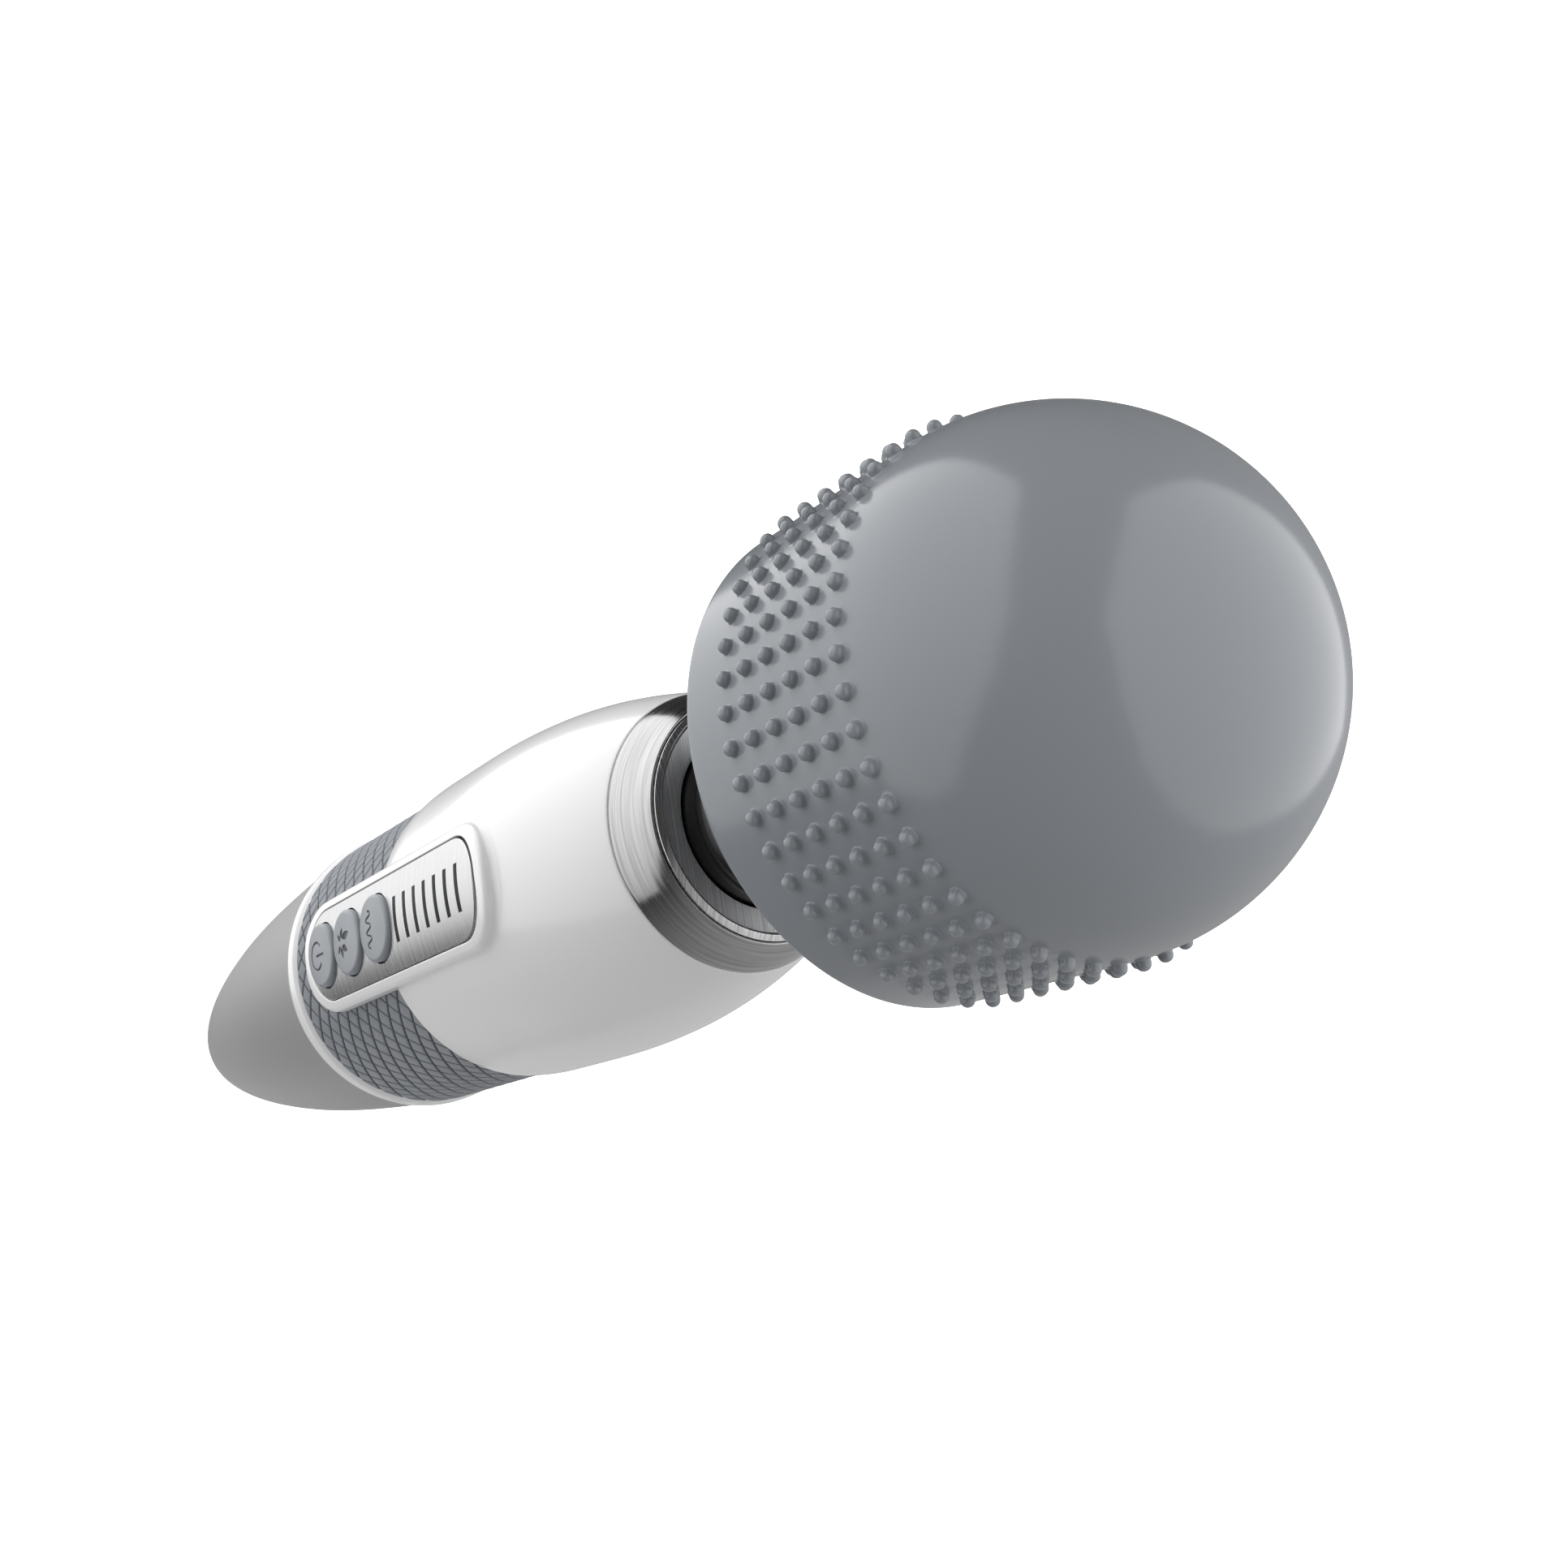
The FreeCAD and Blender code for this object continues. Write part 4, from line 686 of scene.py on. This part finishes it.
def stack_loops(name, loops, close=True):
    """closed loops of equal length joined one to the next; counter-clockwise loops running inwards face up"""
    n = len(loops[0])
    v = np.concatenate(loops)
    quads = []
    k = np.arange(n)
    k2 = (k + 1) % n
    pairs = [(i, i + 1) for i in range(len(loops) - 1)] + ([(len(loops) - 1, 0)] if close else [])
    for a, b in pairs:
        quads.append(np.stack([a * n + k, a * n + k2, b * n + k2, b * n + k], 1))
    return v, np.concatenate(quads)


def on_cyl(xy, R):
    return np.stack([xy[:, 0] + TAIL, xy[:, 1], np.sqrt(np.maximum(R * R - xy[:, 1] ** 2, 1.0))], 1)


L0 = lambda d: rrect(108.40 + d, 175.35 - d, 9.35 - d, 7.4 - d, 8.8 - d)
L1 = lambda d: rrect(111.10 + d, 172.95 - d, 7.65 - d, 6.1 - d, 7.1 - d)


def flare(f):
    """outer outline widened towards the front, where the frame runs softly into the body"""
    p = L0(0.0)
    n = np.stack([np.gradient(np.concatenate([p[-1:], p, p[:1]])[:, 1])[1:-1],
                  -np.gradient(np.concatenate([p[-1:], p, p[:1]])[:, 0])[1:-1]], 1)
    n /= np.linalg.norm(n, axis=1)[:, None]
    w = np.clip((p[:, 0] - 138.0) / 10.0, 0, 1)
    w = w * w * (3 - 2 * w)
    reach = 0.45 + 0.75 * np.clip((25.7 - body_r(p[:, 0])) / 0.8, 0, 1)
    return p + n * (w * reach * f)[:, None], w


def level(xy, up):
    """height at the foot: up above the body's own surface"""
    r = body_r(xy[:, 0]) + up
    return np.stack([xy[:, 0] + TAIL, xy[:, 1], np.sqrt(np.maximum(r * r - xy[:, 1] ** 2, 1.0))], 1)


loops = [on_cyl(L0(0.0), 22.3)]
f1, w1 = flare(1.0)
loops.append(level(f1, -0.35))
topz = on_cyl(L0(0.0), 25.96)[:, 2]
for k in range(0, 9):
    # concave foot: quarter curve from the body up to the frame's side
    t = math.pi / 2 * k / 8
    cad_, wk = flare(1.0 - math.sin(t))
    base = level(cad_, 0.0)
    room = np.maximum(topz - base[:, 2], 0.02)
    base[:, 2] += room * (0.80 * w1 * (1 - math.cos(t)) + 0.04 * (1 - w1) * k) + 0.012
    loops.append(base)
rise = np.minimum(loops[-1][:, 2], topz - 0.03)
for k in (1, 2):
    mid_ = on_cyl(L0(0.0), 25.96)
    mid_[:, 2] = rise + (topz - rise) * k / 2
    loops.append(mid_)
for k in range(1, 9):
    t = math.pi / 2 * k / 8
    loops.append(on_cyl(L0(0.7 * (1 - math.cos(t))), 25.96 + 0.7 * math.sin(t)))
a_, b_ = L0(0.7), L1(-0.22)
for k in (1, 2):
    loops.append(on_cyl(a_ + (b_ - a_) * k / 3, 26.66))
loops.append(on_cyl(b_, 26.66))
for k in range(1, 5):
    t = math.pi / 2 * k / 4
    loops.append(on_cyl(L1(-0.22 + 0.22 * math.sin(t)), 26.66 - 0.22 * (1 - math.cos(t))))
loops.append(on_cyl(L1(0.0), 25.74))
loops.append(on_cyl(L1(0.9), 25.72))
loops.append(on_cyl(L1(0.9), 22.7))
v, q = stack_loops("bezel", loops)
bz = mesh_from("bezel", v, q)
piece("bezel_frame", bz, "handle", M["white_gloss"], ("panel_bezel",), sharp=45)


# brushed plate with its three button holes and seven lamp slots, triangulated in plan and laid on the panel's curve
BC3 = (116.80, 127.80, 138.80)
SLOT = [145.82 + 3.56 * k for k in range(7)]


def plate_mesh():
    from mathutils.geometry import delaunay_2d_cdt
    bev, Rt, Rb = 0.10, 26.60, 25.88
    loops_ = []

    def outline(d):
        return rrect(111.20 + d, 172.20 - d, 7.50 - d, 5.95 - d, 6.93 - d, 14, 16, 70)

    def oval_(c, d):
        t = np.arange(84) * 2 * math.pi / 84
        return np.stack([c + (5.35 + d) * np.cos(t), (5.47 + d) * np.sin(t)], 1)

    def slot_(x, d):
        w, h = 0.50 + d, 3.47 + d
        ys = np.linspace(-h, h, 14)
        return np.concatenate([np.stack([np.full(14, x + w), ys], 1), np.stack([np.full(14, x - w), ys[::-1]], 1)])
    shapes = [(lambda d: outline(-d), -1)] + [((lambda c: lambda d: oval_(c, d))(c), 1) for c in BC3] + \
             [((lambda c: lambda d: slot_(c, d))(c), 1) for c in SLOT]
    top_loops = [outline(bev)] + [oval_(c, bev * 0.6) for c in BC3] + [slot_(x, bev * 0.6) for x in SLOT]
    edge_loops = [outline(0.0)] + [oval_(c, 0.0) for c in BC3] + [slot_(x, 0.0) for x in SLOT]
    pts, edges = [], []
    ranges = []
    for lp_ in top_loops:
        b = len(pts)
        n = len(lp_)
        pts += [tuple(p) for p in lp_]
        edges += [(b + k, b + (k + 1) % n) for k in range(n)]
        ranges.append((b, n))
    allc = np.array(pts)
    gx_, gy_ = np.meshgrid(np.arange(112.0, 172.5, 0.9), np.arange(-7.0, 7.01, 0.7))
    for p in np.stack([gx_.ravel(), gy_.ravel()], 1):
        if np.min(np.hypot(allc[:, 0] - p[0], allc[:, 1] - p[1])) < 0.4:
            continue
        inside = True
        q = outline(0.4)
        # convex outline: inside when left of every side
        e = np.roll(q, -1, axis=0) - q
        inside = bool(np.all(e[:, 0] * (p[1] - q[:, 1]) - e[:, 1] * (p[0] - q[:, 0]) > -1e-9))
        if not inside:
            continue
        if any(((p[0] - c) / 5.7) ** 2 + (p[1] / 5.8) ** 2 < 1 for c in BC3):
            continue
        if any(abs(p[0] - x) < 0.55 and abs(p[1]) < 3.7 for x in SLOT):
            continue
        pts.append(tuple(p))
    vs, es, fs, _, _, _ = delaunay_2d_cdt([Vector(p) for p in pts], edges, [], 0, 1e-6)
    V2 = np.array([tuple(v) for v in vs])
    tr_ = []
    for f in fs:
        c = V2[list(f)].mean(0)
        if any(((c[0] - b) / (5.35 + bev * 0.6)) ** 2 + (c[1] / (5.47 + bev * 0.6)) ** 2 < 0.999 for b in BC3):
            continue
        if any(abs(c[0] - x) < 0.50 + bev * 0.6 and abs(c[1]) < 3.47 + bev * 0.6 for x in SLOT):
            continue
        a0, a1, a2 = f[:3]
        cr = (V2[a1] - V2[a0])[0] * (V2[a2] - V2[a0])[1] - (V2[a1] - V2[a0])[1] * (V2[a2] - V2[a0])[0]
        tr_.append((a0, a1, a2) if cr > 0 else (a0, a2, a1))
    tr_ = np.array(tr_)
    top = on_cyl(V2, Rt)
    bot = on_cyl(V2, Rb)
    m = len(V2)
    V_ = [top, bot]
    T_ = [tr_, tr_[:, ::-1] + m]
    Q_ = []
    n0 = 2 * m
    for (b, n), el, sign in zip(ranges, edge_loops, [1] + [-1] * 10):
        ids = b + np.arange(n)
        up_ = on_cyl(el, Rt - bev)
        dn_ = on_cyl(el, Rb + 0.02)
        V_ += [up_, dn_]
        k = np.arange(n)
        k2 = (k + 1) % n
        for r0, r1 in ((ids, n0 + np.arange(n)), (n0 + np.arange(n), n0 + n + np.arange(n)), (n0 + n + np.arange(n), ids + m)):
            q = np.stack([r0[k2], r0[k], r1[k], r1[k2]], 1)
            Q_.append(q if sign > 0 else q[:, ::-1])
        n0 += 2 * n
    return mesh_from("panel_plate_brushed", np.concatenate(V_), np.concatenate(Q_), np.concatenate(T_))


piece("panel_plate_brushed", plate_mesh(), "handle", M["plate_steel"], ("panel_plate",), sharp=30)


# painted shade: a dark sheet on the frame's ledge stands in for the shadow seen in the gap round the plate
gap_shade_loops = [on_cyl(L1(0.02), 25.75), on_cyl(L1(0.02), 25.86), on_cyl(L1(0.85), 25.86), on_cyl(L1(0.85), 25.75)]
v, q = stack_loops("gap_shade_loops", gap_shade_loops)
piece("plate_gap_shade_sheet", mesh_from("plate_gap_shade_sheet", v, q), "handle", M["part_black"], (), sharp=30)


# buttons: oval domes with engraved marks
def seg_d(P, a, b):
    a, b = np.array(a, float), np.array(b, float)
    d = b - a
    t = np.clip(((P - a) @ d) / (d @ d), 0, 1)
    return np.linalg.norm(P - a - t[:, None] * d, axis=1)


def poly_d(P, pts):
    return np.min([seg_d(P, pts[k], pts[k + 1]) for k in range(len(pts) - 1)], axis=0)


OFF = -0.85


def mark_power(P):
    arc = [(OFF + 2.2 * math.cos(t), 2.25 * math.sin(t)) for t in np.linspace(math.radians(42), math.radians(318), 56)]
    return np.minimum(poly_d(P, arc), seg_d(P, (OFF + 0.1, 0), (OFF + 2.7, 0))) - 0.18


def mark_wave(P):
    y = np.linspace(-2.9, 2.9, 90)
    s_ = np.sin(2 * math.pi * y / 1.95)
    return poly_d(P, [(OFF - 0.2 + 0.85 * np.sign(a) * abs(a) ** 0.75, v) for a, v in zip(s_, y)]) - 0.17


def mark_leaf(P):
    """plain leafy sprig: one stem side with three narrow leaves on each side"""
    out = np.full(len(P), 9.0)
    for ang, ln, w, ox, oy in ((0.25, 2.5, 0.62, 0.3, 0.8), (1.2, 1.8, 0.52, -0.3, 0.8), (2.35, 1.6, 0.40, -0.6, 0.5),
                               (-0.45, 2.1, 0.56, 0.0, -0.5), (-1.35, 1.9, 0.48, -0.5, -0.6), (-2.35, 1.6, 0.36, -0.8, -0.3)):
        c, s = math.cos(ang), math.sin(ang)
        x, y = P[:, 0] - OFF - ox, P[:, 1] - oy
        u = x * c + y * s
        w_ = -x * s + y * c
        t = np.clip(u / ln, 0, 1)
        half = w * np.sin(math.pi * t ** 0.8)
        d = np.abs(w_) - half
        d = np.where((u < 0) | (u > ln), np.hypot(np.where(u < 0, u, u - ln), w_), d)
        out = np.minimum(out, d)
    return out


def button(name, cx, mark):
    ax, ay, top, foot = 5.20, 5.27, 27.45, 23.2
    m = 224
    t = np.arange(m) * 2 * math.pi / m
    E = lambda d, f=1.0: np.stack([cx + (ax + d) * np.cos(t), (ay + d) * np.sin(t)], 1)

    def place(xy, z):
        return np.stack([xy[:, 0] + TAIL, xy[:, 1], z], 1)
    crown = lambda xy: top - 60 + np.sqrt(3600 - xy[:, 1] ** 2) - 0.008 * ((xy[:, 0] - cx) ** 2)
    flange = np.stack([cx + (ax + 0.14) * np.cos(t), (ay + 0.75) * np.sin(t)], 1)
    loops_, inks = [], []

    def add(xy, z, ink_=0.0):
        loops_.append(place(xy, z if isinstance(z, np.ndarray) else np.full(m, float(z))))
        inks.append(np.full(m, ink_) if isinstance(ink_, float) else ink_)
    add(flange, foot)
    add(flange, 24.15)
    add(E(0.02), 24.2)
    add(E(0.0), 24.5)
    add(E(0.0), 25.6)
    zt = crown(E(0.0))
    add(E(0.0), zt - 0.57)
    for k in range(1, 8):
        u = math.pi / 2 * k / 7
        xy = E(-0.55 * (1 - math.cos(u)))
        add(xy, crown(xy) - 0.55 + 0.55 * math.sin(u))
    rings = 84
    for k in range(1, rings):
        f = 1 - k / rings
        xy = np.stack([cx + (ax - 0.55) * f * np.cos(t), (ay - 0.55) * f * np.sin(t)], 1)
        d = mark(np.stack([xy[:, 0] - cx, xy[:, 1]], 1))
        g_ = 1 - np.clip(d / 0.09 + 0.5, 0, 1)
        add(xy, crown(xy) - 0.16 * g_, g_)
    v_, q_ = stack_loops(name, loops_, close=False)
    n_ = len(v_)
    cpt = np.array([[cx + TAIL, 0.0, float(crown(np.array([[cx, 0.0]]))[0])], [cx + TAIL, 0.0, foot]])
    dm = float(mark(np.array([[0.0, 0.0]]))[0])
    gi = float(1 - np.clip(dm / 0.09 + 0.5, 0, 1))
    cpt[0, 2] -= 0.16 * gi
    k = np.arange(m)
    k2 = (k + 1) % m
    lastr = n_ - m
    tris_ = np.concatenate([np.stack([lastr + k, lastr + k2, np.full(m, n_)], 1), np.stack([k2, k, np.full(m, n_ + 1)], 1)])
    me = mesh_from(name, np.concatenate([v_, cpt]), q_, tris_)
    at = me.attributes.new("mark_and_groove_shade", "FLOAT", "POINT")
    at.data.foreach_set("value", np.concatenate([np.concatenate(inks), [gi, 0.0]]).astype(np.float32))
    return me


for nm, cx, mk, body, node in (("power_key_cap", 116.80, mark_power, "power_key", "power_button"),
                               ("mode_key_cap", 127.80, mark_leaf, "mode_key", "mode_button"),
                               ("wave_key_cap", 138.80, mark_wave, "wave_key", "wave_button")):
    piece(nm, button(nm, cx, mk), body, M["button_rubber"], (node,), sharp=50)

# ------------------------------------------------------------------ floor, lights, camera
scene = bpy.context.scene
fl = mesh_from("floor", [(-4000, -4000, 0), (4000, -4000, 0), (4000, 4000, 0), (-4000, 4000, 0)], [(0, 1, 2, 3)])
floor = bpy.data.objects.new("floor", fl)
floor.location = (0, 0, -0.45)
scene.collection.objects.link(floor)
fm = bpy.data.materials.new("floor_pale")
fm.use_nodes = True
fb = fm.node_tree.nodes["Principled BSDF"]
fb.inputs["Base Color"].default_value = (0.9, 0.9, 0.9, 1)
fb.inputs["Roughness"].default_value = 0.9
fb.inputs["Emission Color"].default_value = (1, 1, 1, 1)
fb.inputs["Emission Strength"].default_value = 1.0
fl.materials.append(fm)
floor.visible_glossy = False
floor.visible_diffuse = False


def softbox(name, dirs, dist, strength, centre, lean=0.0):
    """studio panel: a patch seen from centre in the given directions, lit on its face and out of the camera's sight"""
    D = [Vector(d).normalized() for d in dirs]
    c = sum(D, Vector()).normalized()
    vs = [c]
    K = 8
    for k in range(1, K + 1):
        for d in D:
            vs.append((c * (1 - k / K) + d * (k / K)).normalized())
    n = len(D)
    quads, tris = [], []
    for i in range(n):
        tris.append((0, 1 + i, 1 + (i + 1) % n))
    for k in range(1, K):
        for i in range(n):
            a, b = 1 + (k - 1) * n, 1 + k * n
            quads.append((a + i, a + (i + 1) % n, b + (i + 1) % n, b + i))
    pts = [(v * dist + Vector(centre)) / MM for v in vs]
    me = mesh_from(name, [tuple(p) for p in pts], quads, tris)
    ob = bpy.data.objects.new(name, me)
    scene.collection.objects.link(ob)
    mt = bpy.data.materials.new(name + "_light")
    mt.use_nodes = True
    nt = mt.node_tree
    for nd in list(nt.nodes):
        nt.nodes.remove(nd)
    em = nt.nodes.new("ShaderNodeEmission")
    em.inputs["Strength"].default_value = strength
    em.inputs["Color"].default_value = (1, 1, 1, 1)
    oo = nt.nodes.new("ShaderNodeOutputMaterial")
    if lean:
        # a little brighter towards +Y than towards -Y
        geo = nt.nodes.new("ShaderNodeNewGeometry")
        sp = nt.nodes.new("ShaderNodeSeparateXYZ")
        nt.links.new(geo.outputs["Position"], sp.inputs[0])
        mr = nt.nodes.new("ShaderNodeMapRange")
        mr.inputs["From Min"].default_value = -dist
        mr.inputs["From Max"].default_value = dist
        mr.inputs["To Min"].default_value = strength - lean
        mr.inputs["To Max"].default_value = strength + lean
        nt.links.new(sp.outputs[1], mr.inputs["Value"])
        nt.links.new(mr.outputs["Result"], em.inputs["Strength"])
    nt.links.new(em.outputs[0], oo.inputs["Surface"])
    me.materials.append(mt)
    ob.visible_camera = False
    ob.visible_shadow = False
    return ob


HEADC = (0.112, 0.0, AX * MM)
LEFT = [(-0.29, 0.96, -0.02), (0.26, 0.94, 0.23), (0.42, 0.74, 0.53), (0.48, 0.28, 0.83), (0.35, -0.06, 0.94),
        (0.07, -0.34, 0.94), (-0.18, -0.56, 0.81), (-0.39, -0.56, 0.73), (-0.66, -0.32, 0.68), (-0.84, -0.08, 0.53),
        (-0.94, 0.25, 0.15), (-0.80, 0.58, -0.12), (-0.60, 0.78, -0.14), (-0.47, 0.87, -0.08)]
RIGHT = [(0.66, 0.75, -0.07), (0.45, 0.71, -0.55), (0.34, 0.58, -0.74), (0.05, 0.25, -0.97), (-0.09, -0.02, -1.0),
         (0.23, -0.56, -0.79), (0.36, -0.80, -0.47), (0.53, -0.84, -0.13), (0.69, -0.70, 0.16), (0.85, -0.36, 0.38),
         (0.89, 0.13, 0.44), (0.86, 0.44, 0.26)]
softbox("softbox_left", LEFT, 1.6, 1.55, HEADC, 0.75)
softbox("softbox_right", RIGHT, 0.40, 1.70, HEADC, 0.0)
LOW = [(-0.85, -0.15, -0.50), (-0.75, -0.62, -0.20), (-0.30, -0.90, -0.28), (0.10, -0.78, -0.62), (0.0, -0.30, -0.95),
       (-0.50, 0.05, -0.87)]
softbox("softbox_low", LOW, 0.24, 0.55, (-0.095, 0.0, AX * MM), 0.0)
FILL = [(-0.30, -0.93, 0.20), (-0.60, -0.70, 0.38), (-0.85, -0.40, 0.34), (-0.93, -0.35, -0.10), (-0.70, -0.70, -0.15),
        (-0.35, -0.93, -0.12)]
softbox("softbox_fill", FILL, 0.16, 8.0, (-0.115, 0.0, AX * MM), 0.0).visible_glossy = False

TOP = [(-0.45, 0.88, 0.05), (-0.25, 0.90, 0.35), (0.15, 0.92, 0.35), (0.25, 0.96, 0.0), (0.10, 0.97, -0.20),
       (-0.35, 0.92, -0.15)]
softbox("softbox_top", TOP, 0.13, 3.6, (0.0, 0.0, AX * MM), 0.0).visible_glossy = False

world = bpy.data.worlds.new("studio")
scene.world = world
world.use_nodes = True
wt = world.node_tree
bg = wt.nodes["Background"]
bg.inputs["Color"].default_value = (1, 1, 1, 1)
bg.inputs["Strength"].default_value = 0.22
# the room is dark above and behind, and lifts towards the pale floor
wc = wt.nodes.new("ShaderNodeTexCoord")
dp = wt.nodes.new("ShaderNodeVectorMath")
dp.operation = "DOT_PRODUCT"
dp.inputs[1].default_value = (0.20, -0.72, -0.66)
wt.links.new(wc.outputs["Generated"], dp.inputs[0])
wr = wt.nodes.new("ShaderNodeMapRange")
wr.inputs["From Min"].default_value = -0.25
wr.inputs["From Max"].default_value = 1.0
wr.inputs["To Min"].default_value = 0.05
wr.inputs["To Max"].default_value = 0.62
wt.links.new(dp.outputs["Value"], wr.inputs["Value"])
wt.links.new(wr.outputs["Result"], bg.inputs["Strength"])
bg2 = wt.nodes.new("ShaderNodeBackground")
bg2.inputs["Color"].default_value = (1, 1, 1, 1)
bg2.inputs["Strength"].default_value = 1.0
lp = wt.nodes.new("ShaderNodeLightPath")
mixw = wt.nodes.new("ShaderNodeMixShader")
wt.links.new(lp.outputs["Is Camera Ray"], mixw.inputs[0])
wt.links.new(bg.outputs[0], mixw.inputs[1])
wt.links.new(bg2.outputs[0], mixw.inputs[2])
wt.links.new(mixw.outputs[0], wt.nodes["World Output"].inputs["Surface"])

cam = bpy.data.cameras.new("camera")
cam.lens = 37.28
cam.sensor_width = 36.0
cam.clip_start = 0.005
cam.clip_end = 100.0
co_ = bpy.data.objects.new("camera", cam)
scene.collection.objects.link(co_)
right = Vector((0.58916668, -0.16192126, -0.79162121))
up = Vector((0.27116134, 0.96252126, 0.0049349))
fwd = Vector((-0.76115317, 0.21756455, -0.61099224))
R3 = Matrix((right, up, -fwd)).transposed()
co_.matrix_world = Matrix.Translation(Vector((0.228499, -0.043464, 0.162184))) @ R3.to_4x4()
scene.camera = co_
scene.view_settings.view_transform = "Standard"
scene.view_settings.look = "None"
scene.view_settings.exposure = 0.0
scene.view_settings.gamma = 1.0
